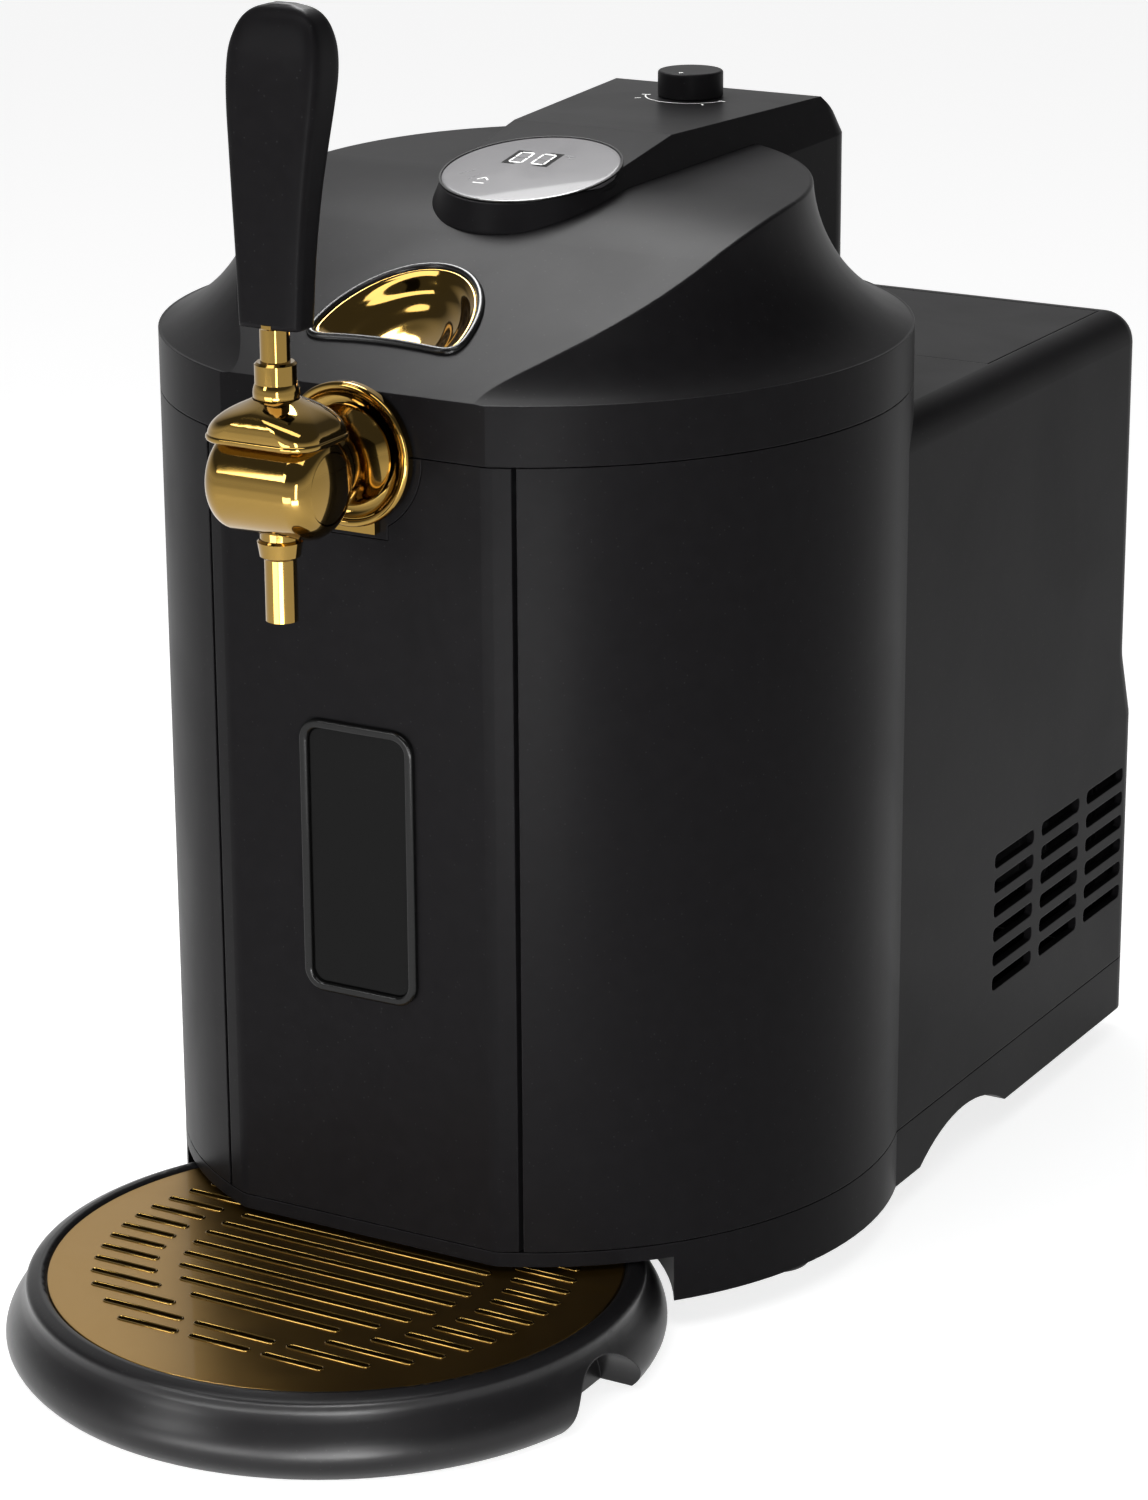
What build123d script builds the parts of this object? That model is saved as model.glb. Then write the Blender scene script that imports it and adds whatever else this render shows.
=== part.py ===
from build123d import *
from math import atan2, cos, radians, sin, sqrt, tan
import os

# Countertop dispenser for a 5 litre party keg: an insulated, thermoelectrically
# cooled drum with a hinged lid, a lever tap, a gas regulator and a drip tray.
# Frame: millimetres, +Z up, Z = 0 on the counter, X = Y = 0 on the drum's axis,
# -Y towards the tap, +Y towards the rear.

# ---------------------------------------------------------------- keg and clearances
keg_d = 172.0            # the 5 litre party keg that the chamber takes
keg_h = 250.0
keg_top = 300.0          # top of the keg when it stands in the chamber
keg_room = 3.0           # radial room between the keg and the liner
gap = 0.3                # between neighbours that move
fit = 0.05               # radial running clearance of pins and shafts
seam = 0.4               # open joint line between mouldings

# ---------------------------------------------------------------- housing
wall = 3.0               # moulded ABS wall
drum_r = 132.0           # outside of the drum
facet_depth = 10.4       # the flat front is cut this deep into the drum
facet_y = drum_r - facet_depth
facet_edge_r = 10.0      # rounding where the flat front meets the drum
box_inset = 6.3          # the rear box is narrower than the drum by this, each side
box_half = drum_r - box_inset
box_top = 300.0
box_edge_r = 12.0
rear_y = 247.0           # upper rear face
rear_step = 9.0          # the lower rear face stands out by this
rear_low_y = rear_y + rear_step
rear_step_low = 138.0    # the rear face slopes between these heights
rear_step_high = 164.0
foot_h = 12.0            # the base stands this far above the counter
base_top = 34.0          # seam between the base and the body
lid_seam = 311.0         # seam between the body and the lid
floor_t = 3.0

# ---------------------------------------------------------------- drip tray
tray_y = -facet_y - 20.4     # centre of the round tray
tray_r = 114.0
tray_h = 27.6            # top of the rim
tray_lift = 0.4          # the tray's underside clears the counter
grid_r = 99.4
grid_top = 26.6
grid_t = 1.4
tray_floor = 5.0         # inside floor of the tray's well
recess_gap = 2.3         # radial room round the tray under the drum
recess_ceiling = 28.6
notch_y = -150.0         # finger notches in the tray's sides
notch_r = 21.0
notch_rise = 19.5
tongue_w = 60.0          # rear tongue that hooks the tray into the base
tongue_t = 4.0
tongue_l = 24.0

# ---------------------------------------------------------------- lid
lid_band_top = 331.4
bell_r = drum_r - 36.0   # radius that the lid's concave flank climbs to
bell_top = 384.0
ramp_front_z = 331.6     # the ramp starts at the front edge ...
ramp_knee = (-15.5, 378.2)   # ... climbs to here ...
ramp_rear = (125.0, 384.6)   # ... and runs on almost level
ramp_knee_r = 140.0
lid_wall = 3.0
hinge_y = drum_r + 8.5
hinge_z = 311.0
pin_r = 2.5

# ---------------------------------------------------------------- console and display
display_y = -3.0
display_z = 384.0
display_tilt = 10.5      # degrees, leaning towards the tap
display_r = 31.3
display_t = 2.0
display_rise = 0.4       # the glass stands this far proud of the console
bezel_r = 36.0
console_top = 392.0
console_rear = hinge_y + 8.5
console_half = 50.0      # half width at the rear
console_shelf = (371.0, 2.8)  # height at Y = 0 and slope, degrees, of the shoulder line
console_draft = 24.0     # lean of the shoulders
console_rise = 19.0      # the shoulders reach above every part of the console's top
console_bottom = 305.0
console_room = 2.2       # room for the console's lower edge to swing past the drum
console_wall = 2.5
console_corner_r = 12.0
knob_y = console_rear - 36.0
knob_r = 12.0
knob_h = 9.2
knob_lift = 0.4
spindle_r = 3.0

# ---------------------------------------------------------------- tap
tap_y = -facet_y - 43.4  # vertical axis of the tap
shank_z = 310.0          # axis of the shank and the valve
shank_r = 11.0
shank_room = 20.0        # half width of the way that the shank and its nut need
rim_notch_y = 100.0      # the notches for the shank reach in to this distance
nut_flats = 30.0
barrel_r = 17.5
barrel_half = 20.5
barrel_edge_r = 8.0
flange_r = 24.5
flange_t = 4.4
pivot_z = 339.4          # centre of the lever's ball
ball_r = 7.6
collar_r = 6.9
collar_top = 349.6
stem_r = 4.9
stud_r = 3.6             # the stem's stud, inside the handle
stud_l = 12.0
plunger_r = 7.0
plunger_room = 0.3
spout_r = 5.35
spout_bore = 4.0
spout_end = 263.8
handle_bottom = 362.0
handle_top = 462.0

# ---------------------------------------------------------------- cooling chamber
liner_r = keg_d / 2 + keg_room
liner_t = 1.2
liner_floor = 46.0
pad_t = 2.8
rim_z = 300.0
rim_t = 3.0
jacket_r = drum_r - 16.4
cold_half = 30.0
cold_z = (198.0, 258.0)
cold_rear = jacket_r + 2.4
peltier_t = 4.0
peltier_half = 20.0
sink_half = 50.0
sink_base = 5.0
sink_fin_end = rear_y - 57.0
fan_half = 46.0
fan_t = 25.0
fan_r = 42.5
fan_z = 228.0

os.makedirs("parts", exist_ok=True)


def save(piece, name):
    """Label a finished piece and write it as one STEP file."""
    piece.part.label = name
    export_step(piece.part, f"parts/{name}.step")


def drum_plan(inset=0.0, facet=True):
    """Round drum with its flat front, drawn inset from the outside."""
    with BuildSketch() as plan:
        Circle(drum_r - inset)
        if facet:
            with Locations((0, -facet_y + inset - drum_r / 2)):
                Rectangle(2 * drum_r, drum_r, mode=Mode.SUBTRACT)
            fillet(plan.vertices().group_by(Axis.Y)[0], facet_edge_r)
    return plan.sketch


def housing_plan(inset=0.0):
    """Drum and rear box together, as the base sees them."""
    with BuildSketch() as box:
        with Locations((0, (rear_low_y - inset) / 2)):
            Rectangle(2 * (box_half - inset), rear_low_y - inset)
        fillet(box.vertices().group_by(Axis.Y)[-1], box_edge_r - inset)
    with BuildSketch() as plan:
        add(drum_plan(inset))
        add(box.sketch)
    return plan.sketch


def rear_box(inset, bottom):
    """Solid of the rear box, with its stepped back and rounded edges."""
    with BuildPart() as box:
        with BuildSketch(Plane.YZ) as side:
            with BuildLine():
                Polyline(
                    (0, bottom),
                    (rear_low_y - inset, bottom),
                    (rear_low_y - inset, rear_step_low),
                    (rear_y - inset, rear_step_high),
                    (rear_y - inset, box_top - inset),
                    (0, box_top - inset),
                    close=True,
                )
            make_face()
            step = side.vertices().filter_by_position(Axis.Y, rear_step_low - 1, rear_step_high + 1)
            fillet(step, box_edge_r)
        extrude(amount=box_half - inset, both=True)
        rear = box.edges().filter_by_position(Axis.Y, rear_y - inset - 1, rear_low_y + 1)
        rear = rear.filter_by_position(Axis.Z, bottom + 1, box_top + 1)
        rear = [e for e in rear if abs(abs(e.center().X) - (box_half - inset)) < 0.1 or e.center().Z > box_top - inset - 0.1]
        top = [e for e in box.edges().filter_by(Axis.Y) if e.center().Z > box_top - inset - 0.1]
        fillet(rear + top, box_edge_r - inset)
    return box.part


# ================================================================ housing
recess_r = tray_r + recess_gap
base_bottom = foot_h
base_floor = base_bottom + floor_t
recess_roof = recess_ceiling + floor_t
recess_rear = tray_y + recess_r
arch_y = (61.0, 136.0)       # finger grips in the base's sides
arch_rise = 11.0
grip_depth = 20.0
board_y = rear_low_y - 70.0
board_size = (140.0, 84.0, 1.6)
board_z = 23.0
boss_r = 4.0
foot_r = 13.0
foot_x = (drum_r - 28.0, box_half - 27.7)   # front and rear pairs
foot_y = (-14.0, rear_low_y - 34.0)
feet_at = [(side * x, y) for x, y in zip(foot_x, foot_y) for side in (-1, 1)]
screw_x = (box_half - 8.7, 60.0)
screw_y = (40.0, rear_low_y - 12.0)
base_screws_at = [(side * x, y) for x, y in zip(screw_x, screw_y) for side in (-1, 1)]
screw_r = 1.6
screw_head_r = 3.2
screw_head_t = 2.2


def arch_face(low, extra=0.0):
    """Low arch of a finger grip, seen from the side."""
    with BuildSketch() as arch:
        with BuildLine():
            mid = (arch_y[0] + arch_y[1]) / 2
            ThreePointArc(
                (arch_y[0] - extra, low), (mid, low + arch_rise + extra), (arch_y[1] + extra, low)
            )
            Line((arch_y[1] + extra, low), (arch_y[0] - extra, low))
        make_face()
    return arch.sketch


with BuildPart() as base_shell:
    with BuildSketch(Plane.XY.offset(base_bottom)):
        add(housing_plan())
    extrude(amount=base_top - seam / 2 - base_bottom)
    with BuildSketch(Plane.XY.offset(base_floor)):
        add(housing_plan(wall))
    extrude(amount=base_top, mode=Mode.SUBTRACT)
    # the tray's recess: a round pocket with its own wall and roof
    with BuildSketch(Plane.XY.offset(base_bottom)):
        add(housing_plan())
        with Locations((0, tray_y)):
            Circle(recess_r + wall, mode=Mode.INTERSECT)
    extrude(amount=recess_roof - base_bottom)
    # finger grips and the posts that carry the circuit board
    for side in (-1, 1):
        with BuildSketch(Plane.YZ.offset(side * (box_half - wall / 2))):
            add(arch_face(base_bottom, wall))
        extrude(amount=-side * (grip_depth + wall))
    with BuildSketch(Plane.XY.offset(base_floor)):
        with Locations((0, board_y)):
            with GridLocations(board_size[0] - 12, board_size[1] - 12, 2, 2):
                Circle(boss_r)
    extrude(amount=board_z - base_floor)
    with BuildSketch(Plane.XY.offset(base_floor)):
        with Locations(*base_screws_at):
            Circle(boss_r)
    extrude(amount=base_top - 1.0 - base_floor)
    # openings
    with BuildSketch(Plane.XY.offset(base_bottom)):
        with Locations((0, tray_y)):
            Circle(recess_r)
    extrude(amount=recess_ceiling - base_bottom, mode=Mode.SUBTRACT)
    for side in (-1, 1):
        with BuildSketch(Plane.YZ.offset(side * (box_half + 8.0))):
            add(arch_face(base_bottom - 0.01))
        extrude(amount=-side * (grip_depth + 8.0), mode=Mode.SUBTRACT)
    with BuildSketch(Plane.XZ.offset(-recess_rear + 8)):
        with Locations((0, base_floor + tongue_t / 2 + gap)):
            Rectangle(tongue_w + 2 * gap, tongue_t + 2 * gap)
    extrude(amount=-(wall + 12), mode=Mode.SUBTRACT)
    for at in base_screws_at:
        with Locations((at[0], at[1], base_bottom)):
            Cylinder(screw_r, 40, align=(Align.CENTER, Align.CENTER, Align.MIN), mode=Mode.SUBTRACT)
            Cylinder(
                screw_head_r + gap, screw_head_t, align=(Align.CENTER, Align.CENTER, Align.MIN),
                mode=Mode.SUBTRACT,
            )
save(base_shell, "base_shell")

with BuildPart() as rubber_feet:
    with Locations(*[(x, y, 0) for x, y in feet_at]):
        Cylinder(foot_r, foot_h, align=(Align.CENTER, Align.CENTER, Align.MIN))
    fillet(rubber_feet.edges().group_by(Axis.Z)[0], 2.0)
save(rubber_feet, "rubber_feet")

with BuildPart() as base_screws:
    for x, y in base_screws_at:
        with Locations((x, y, base_bottom + 0.2)):
            Cylinder(screw_head_r, screw_head_t - 0.2, align=(Align.CENTER, Align.CENTER, Align.MIN))
        with Locations((x, y, base_bottom + screw_head_t)):
            Cylinder(screw_r - fit, 16, align=(Align.CENTER, Align.CENTER, Align.MIN))
        with BuildSketch(Plane((x, y, base_bottom + 0.2))):
            Rectangle(3.6, 0.9)
            Rectangle(0.9, 3.6)
        extrude(amount=1.0, mode=Mode.SUBTRACT)
save(base_screws, "base_screws")

ear_x = (28.0, 34.0)         # the hinge's ears on the body
ear_r = 4.6
ear_low = hinge_z - ear_r
ear_root = sqrt(drum_r**2 - ear_x[1] ** 2) - 1.0    # reaches into the drum's wall

# ---------------------------------------------------------------- body shell
body_bottom = base_top + seam / 2
body_top = lid_seam - seam / 2
fascia_half = 58.9
fascia_gap = 1.5         # open seam beside the fascia
fascia_lip = 2.0         # thickness of the tongue behind that seam
fascia_lip_half = 64.0
cover_half = box_half - 12.7   # top cover between the rounded edges of the box
cover_t = 3.0
panel_half = box_half - 21.7
panel_z = (44.0, 288.0)
vent_cols = 3
vent_rows = 6
vent_pitch_y = 42.7
vent_pitch_z = 9.8
vent_size = (35.7, 5.6)
vent_edge_r = 2.2
vent_centre = (rear_y - 65.2, 88.2)
ledge = 4.0              # step that carries the top cover
ledge_t = 3.0
ledge_z = 8.0            # step above and below the rear panel's opening
panel_screw_in = (6.0, 10.0)   # the screws stand this far inside the panel's edges
panel_screw_z = (panel_z[0] + panel_screw_in[1], 200.0, panel_z[1] - panel_screw_in[1])
rear_screws_at = [(side * (panel_half - panel_screw_in[0]), z) for side in (-1, 1) for z in panel_screw_z]


def back_face_y(z):
    """Outside of the stepped rear face at a height."""
    if z < rear_step_low:
        return rear_low_y
    if z > rear_step_high:
        return rear_y
    share = (z - rear_step_low) / (rear_step_high - rear_step_low)
    return rear_low_y + (rear_y - rear_low_y) * share


def panel_profile(inset, low, high, thick):
    """Side view of a sheet that follows the stepped rear face, set in from it."""
    levels = (low, rear_step_low, rear_step_high, high)
    outside = [(back_face_y(z) - inset, z) for z in levels]
    return outside + [(y - thick, z) for y, z in reversed(outside)]


with BuildPart() as body_shell:
    add(rear_box(0, body_bottom))
    with BuildSketch(Plane.XY.offset(body_bottom)):
        add(drum_plan())
    extrude(amount=body_top - body_bottom)
    add(rear_box(wall, body_bottom - 1), mode=Mode.SUBTRACT)
    with BuildSketch(Plane.XY.offset(body_bottom - 1)):
        add(drum_plan(wall))
    extrude(amount=lid_seam, mode=Mode.SUBTRACT)
    # the ring that the lid sits over stays whole where the box joins the drum
    with BuildSketch(Plane.XY.offset(box_top - 16)):
        Circle(drum_r)
        Circle(drum_r - wall, mode=Mode.SUBTRACT)
        with Locations((0, -drum_r + 30)):
            Rectangle(2 * drum_r, 2 * drum_r, mode=Mode.SUBTRACT)
    extrude(amount=body_top - box_top + 16)
    # ears of the lid's hinge
    for side in (-1, 1):
        with BuildSketch(Plane.YZ.offset(side * ear_x[0])):
            with Locations((hinge_y, hinge_z)):
                Circle(ear_r)
            with Locations(((ear_root + hinge_y) / 2, (ear_low + body_top) / 2)):
                Rectangle(hinge_y - ear_root, body_top - ear_low)
            with Locations((hinge_y, hinge_z)):
                Circle(pin_r, mode=Mode.SUBTRACT)
        extrude(amount=side * (ear_x[1] - ear_x[0]))
    # front opening for the fascia
    with BuildSketch(Plane.XY.offset(body_bottom - 1)):
        with Locations((0, -drum_r)):
            Rectangle(2 * (fascia_half + fascia_gap), drum_r)
    extrude(amount=lid_seam, mode=Mode.SUBTRACT)
    # top opening
    with BuildSketch(Plane.XY.offset(box_top - wall - 1)):
        with Locations((0, drum_r + gap + (rear_y - 14 - drum_r) / 2)):
            Rectangle(2 * cover_half + 2 * gap, rear_y - 14 - drum_r)
        Circle(drum_r + 1.0, mode=Mode.SUBTRACT)
    extrude(amount=wall + 2, mode=Mode.SUBTRACT)
    # rear opening
    with BuildSketch(Plane.XZ.offset(-rear_low_y - 1)):
        with Locations((0, (panel_z[0] + panel_z[1]) / 2)):
            Rectangle(2 * (panel_half + gap), panel_z[1] - panel_z[0] + 2 * gap)
    extrude(amount=rear_low_y - rear_y + wall + 6, mode=Mode.SUBTRACT)
    # ledges and bosses behind the top cover and the rear panel
    with BuildSketch(Plane.XY.offset(box_top - wall - ledge_t)):
        with Locations((0, drum_r + gap + (rear_y - 14 - drum_r) / 2)):
            Rectangle(2 * (cover_half + ledge), rear_y - 14 - drum_r + 2 * ledge)
            Rectangle(2 * (cover_half - ledge), rear_y - 14 - drum_r - 2 * ledge, mode=Mode.SUBTRACT)
        Circle(drum_r - 0.5, mode=Mode.SUBTRACT)
    extrude(amount=ledge_t)
    with BuildSketch(Plane.YZ):
        with BuildLine():
            Polyline(*panel_profile(wall, panel_z[0] - 6, panel_z[1] + 6, ledge_t), close=True)
        make_face()
    extrude(amount=panel_half + 6, both=True)
    with BuildSketch(Plane.XZ.offset(-rear_y + 30)):
        with Locations((0, (panel_z[0] + panel_z[1]) / 2)):
            Rectangle(2 * (panel_half - 12), panel_z[1] - panel_z[0] - 2 * ledge_z)
    extrude(amount=-50, mode=Mode.SUBTRACT)
    for x, z in rear_screws_at:
        with Locations(Plane((x, back_face_y(z) - wall, z), x_dir=(1, 0, 0), z_dir=(0, 1, 0))):
            Cylinder(boss_r, 12, align=(Align.CENTER, Align.CENTER, Align.MAX))
            Cylinder(screw_r + fit, 12, align=(Align.CENTER, Align.CENTER, Align.MAX), mode=Mode.SUBTRACT)
    # side vents
    with BuildSketch(Plane.YZ):
        with Locations(vent_centre):
            with GridLocations(vent_pitch_y, vent_pitch_z, vent_cols, vent_rows):
                RectangleRounded(vent_size[0], vent_size[1], vent_edge_r)
    extrude(amount=box_half + 5, both=True, mode=Mode.SUBTRACT)
save(body_shell, "body_shell")

with BuildPart() as rear_top_cover:
    with BuildSketch(Plane.XY.offset(box_top - cover_t)):
        with Locations((0, drum_r + gap + (rear_y - 14 - drum_r) / 2)):
            Rectangle(2 * cover_half - seam, rear_y - 14 - drum_r - seam)
        Circle(drum_r + 1.0 + seam, mode=Mode.SUBTRACT)
    extrude(amount=cover_t)
    fillet(rear_top_cover.edges().group_by(Axis.Z)[-1], 0.5)
save(rear_top_cover, "rear_top_cover")

# ---------------------------------------------------------------- front fascia
carrier_half = 13.8      # the tap's key plate drops into this notch
carrier_bottom = 281.5
carrier_r = 27.3
carrier_rear = -117.0
key_half = 10.7          # the tap's key tab in front of that plate
key_bottom = 284.0
frame_half = 22.5        # glossy raised frame on the fascia
frame_z = (118.0, 216.0)
frame_corner_r = 8.0
frame_rise = 2.2
frame_band = 3.2


def key_notch(room=0.0):
    """Outline of the notch that takes the tap's key plate, seen from the front."""
    with BuildSketch() as notch:
        with Locations((0, shank_z)):
            Circle(carrier_r + room)
        with Locations((0, (carrier_bottom - room + shank_z) / 2)):
            Rectangle(2 * (carrier_half + room), shank_z - carrier_bottom + room)
    return notch.sketch


with BuildPart() as front_fascia:
    with BuildSketch(Plane.XY.offset(body_bottom)):
        add(drum_plan())
        add(drum_plan(wall), mode=Mode.SUBTRACT)
        with Locations((0, -drum_r)):
            Rectangle(2 * fascia_half, 2 * (drum_r - 100), mode=Mode.INTERSECT)
    extrude(amount=body_top - body_bottom)
    with BuildSketch(Plane.XY.offset(body_bottom)):
        add(drum_plan(wall))
        add(drum_plan(wall + fascia_lip), mode=Mode.SUBTRACT)
        with Locations((0, -drum_r)):
            Rectangle(2 * fascia_half, 2 * (drum_r - 100), mode=Mode.INTERSECT)
    extrude(amount=body_top - 18 - body_bottom)
    with BuildSketch(Plane.XY.offset(body_bottom)):
        add(drum_plan(wall + gap))
        add(drum_plan(wall + fascia_lip), mode=Mode.SUBTRACT)
        with Locations((0, -drum_r)):
            Rectangle(2 * fascia_lip_half, 2 * (drum_r - 100), mode=Mode.INTERSECT)
    extrude(amount=body_top - 18 - body_bottom)
    with BuildSketch(Plane.XZ.offset(facet_y + 10)):
        add(key_notch())
    extrude(amount=-40, mode=Mode.SUBTRACT)
    # seat of the glossy frame
    with BuildSketch(Plane.XZ.offset(facet_y)):
        with Locations((0, sum(frame_z) / 2)):
            RectangleRounded(
                2 * frame_half - frame_band, frame_z[1] - frame_z[0] - frame_band,
                frame_corner_r - frame_band / 2,
            )
    extrude(amount=-1.2, mode=Mode.SUBTRACT)
save(front_fascia, "front_fascia")

with BuildPart() as fascia_frame:
    with BuildSketch(Plane.XZ.offset(facet_y)):
        with Locations((0, sum(frame_z) / 2)):
            RectangleRounded(2 * frame_half, frame_z[1] - frame_z[0], frame_corner_r)
            RectangleRounded(
                2 * (frame_half - frame_band), frame_z[1] - frame_z[0] - 2 * frame_band,
                frame_corner_r - frame_band, mode=Mode.SUBTRACT,
            )
    extrude(amount=frame_rise)
    fillet(fascia_frame.edges().group_by(Axis.Y)[0], 1.0)
save(fascia_frame, "fascia_frame")

with BuildPart() as fascia_window:
    with BuildSketch(Plane.XZ.offset(facet_y - 1.2)):
        with Locations((0, sum(frame_z) / 2)):
            RectangleRounded(
                2 * (frame_half - frame_band) - 2 * fit, frame_z[1] - frame_z[0] - 2 * frame_band - 2 * fit,
                frame_corner_r - frame_band - fit,
            )
    extrude(amount=1.7)
    fillet(fascia_window.edges().group_by(Axis.Y)[0], 0.4)
save(fascia_window, "fascia_window")

# ---------------------------------------------------------------- rear panel
grille_rows = 9
grille_pitch = 9.0
grille_slot = (38.0, 4.4)
inlet_at = (72.0, 72.0)
inlet_size = (28.0, 22.0)

with BuildPart() as rear_panel:
    with BuildSketch(Plane.YZ) as section:
        with BuildLine():
            Polyline(*panel_profile(0, *panel_z, wall), close=True)
        make_face()
    extrude(amount=panel_half, both=True)
    with BuildSketch(Plane.XZ.offset(-rear_y - 1)):
        with Locations((0, fan_z)):
            with GridLocations(grille_slot[0] + 5, grille_pitch, 2, grille_rows):
                RectangleRounded(grille_slot[0], grille_slot[1], grille_slot[1] / 2 - 0.2)
    extrude(amount=wall + 2, mode=Mode.SUBTRACT)
    with BuildSketch(Plane.XZ.offset(-rear_low_y - 1)):
        with Locations(inlet_at):
            RectangleRounded(inlet_size[0], inlet_size[1], 4)
    extrude(amount=wall + 2, mode=Mode.SUBTRACT)
    for x, z in rear_screws_at:
        with Locations(Plane((x, back_face_y(z), z), x_dir=(1, 0, 0), z_dir=(0, 1, 0))):
            CounterBoreHole(screw_r + fit, screw_head_r + gap, 1.6, depth=wall + 2)
save(rear_panel, "rear_panel")

with BuildPart() as rear_screws:
    for x, z in rear_screws_at:
        y = back_face_y(z)
        seat = Plane((x, y - 1.6, z), x_dir=(1, 0, 0), z_dir=(0, 1, 0))
        with Locations(seat):
            Cylinder(screw_head_r, 1.5, align=(Align.CENTER, Align.CENTER, Align.MIN))
            Cylinder(screw_r, 8, align=(Align.CENTER, Align.CENTER, Align.MAX))
        with BuildSketch(seat.offset(1.5)):
            Rectangle(3.6, 0.9)
            Rectangle(0.9, 3.6)
        extrude(amount=-0.9, mode=Mode.SUBTRACT)
save(rear_screws, "rear_screws")

with BuildPart() as power_inlet:
    with BuildSketch(Plane.XZ.offset(-rear_low_y + 0.2)):
        with Locations(inlet_at):
            RectangleRounded(inlet_size[0] - 2 * gap, inlet_size[1] - 2 * gap, 4 - gap)
    extrude(amount=22)
    with BuildSketch(Plane.XZ.offset(-rear_low_y + wall)):
        with Locations(inlet_at):
            RectangleRounded(inlet_size[0] + 8, inlet_size[1] + 8, 4)
    extrude(amount=2)
    with BuildSketch(Plane.XZ.offset(-rear_low_y + 0.2)):
        with Locations(inlet_at):
            SlotOverall(17, 10)
    extrude(amount=16, mode=Mode.SUBTRACT)
    for side in (-1, 1):
        with BuildSketch(Plane.XZ.offset(-rear_low_y + 18)):
            with Locations((inlet_at[0] + side * 4.3, inlet_at[1])):
                Circle(1.2)
        extrude(amount=-14)
save(power_inlet, "power_inlet")

# ================================================================ cooling chamber
liner_out = liner_r + liner_t
with BuildPart() as chamber_liner:
    with BuildSketch(Plane.XZ):
        with BuildLine():
            Polyline(
                (0, liner_floor), (liner_out, liner_floor), (liner_out, rim_z), (liner_out + 6, rim_z),
                (liner_out + 6, rim_z + liner_t), (liner_r, rim_z + liner_t),
                (liner_r, liner_floor + liner_t), (0, liner_floor + liner_t), close=True,
            )
        make_face()
    revolve(axis=Axis.Z)
save(chamber_liner, "chamber_liner")

with BuildPart() as keg_pad:
    with Locations((0, 0, liner_floor + liner_t)):
        Cylinder(keg_d / 2 - 2, pad_t, align=(Align.CENTER, Align.CENTER, Align.MIN))
        with PolarLocations(52, 6):
            Cylinder(9, pad_t, align=(Align.CENTER, Align.CENTER, Align.MIN), mode=Mode.SUBTRACT)
save(keg_pad, "keg_pad")

with BuildPart() as insulation_jacket:
    with Locations((0, 0, recess_roof)):
        Cylinder(jacket_r, rim_z - recess_roof, align=(Align.CENTER, Align.CENTER, Align.MIN))
    with Locations((0, 0, liner_floor)):
        Cylinder(liner_out, rim_z, align=(Align.CENTER, Align.CENTER, Align.MIN), mode=Mode.SUBTRACT)
    with BuildSketch(Plane.XY.offset(cold_z[0] - gap)):
        with Locations((0, jacket_r / 2)):
            Rectangle(2 * (cold_half + gap), jacket_r)
    extrude(amount=cold_z[1] - cold_z[0] + 12, mode=Mode.SUBTRACT)
    with BuildSketch(Plane.XY.offset(shank_z - nut_flats / 2 - 3)):
        with Locations((0, -drum_r)):
            Rectangle(2 * shank_room, 2 * (drum_r - rim_notch_y))
    extrude(amount=rim_z, mode=Mode.SUBTRACT)
save(insulation_jacket, "insulation_jacket")

with BuildPart() as chamber_rim:
    with BuildSketch(Plane.XY.offset(rim_z + liner_t)):
        add(drum_plan(wall + gap))
        Circle(liner_r + 0.6, mode=Mode.SUBTRACT)
        with Locations((0, -drum_r)):
            Rectangle(2 * shank_room, 2 * (drum_r - rim_notch_y), mode=Mode.SUBTRACT)
            Rectangle(2 * carrier_r + 2, 2 * (drum_r + carrier_rear + 1), mode=Mode.SUBTRACT)
        with Locations((0, drum_r)):
            Rectangle(90, 20, mode=Mode.SUBTRACT)
    extrude(amount=rim_t)
save(chamber_rim, "chamber_rim")

with BuildPart() as cold_block:
    with BuildSketch(Plane.XY.offset(cold_z[0])):
        with Locations((0, cold_rear / 2)):
            Rectangle(2 * cold_half, cold_rear)
        Circle(liner_out + 0.02, mode=Mode.SUBTRACT)
    extrude(amount=cold_z[1] - cold_z[0])
    with Locations((0, cold_rear, (cold_z[0] + cold_z[1]) / 2)):
        Box(
            2 * peltier_half + 20, 6, 2 * peltier_half + 20,
            align=(Align.CENTER, Align.MAX, Align.CENTER),
        )
save(cold_block, "cold_block")

with BuildPart() as temperature_sensor:
    with Locations((0, cold_rear - 17, cold_z[1])):
        Box(10, 14, 5, align=(Align.CENTER, Align.CENTER, Align.MIN))
        with Locations((0, 0, 2.5)):
            Cylinder(1.6, 16, rotation=(-90, 0, 0), align=(Align.CENTER, Align.CENTER, Align.MIN))
    fillet(temperature_sensor.edges().filter_by(Axis.Z), 1.0)
save(temperature_sensor, "temperature_sensor")

sink_z = (cold_z[0] + cold_z[1]) / 2
sink_front = cold_rear + peltier_t
with BuildPart() as peltier_module:
    with Locations((0, cold_rear, sink_z)):
        Box(
            2 * peltier_half, peltier_t, 2 * peltier_half,
            align=(Align.CENTER, Align.MIN, Align.CENTER),
        )
    fillet(peltier_module.edges().filter_by(Axis.Y), 1.0)
save(peltier_module, "peltier_module")

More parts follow.
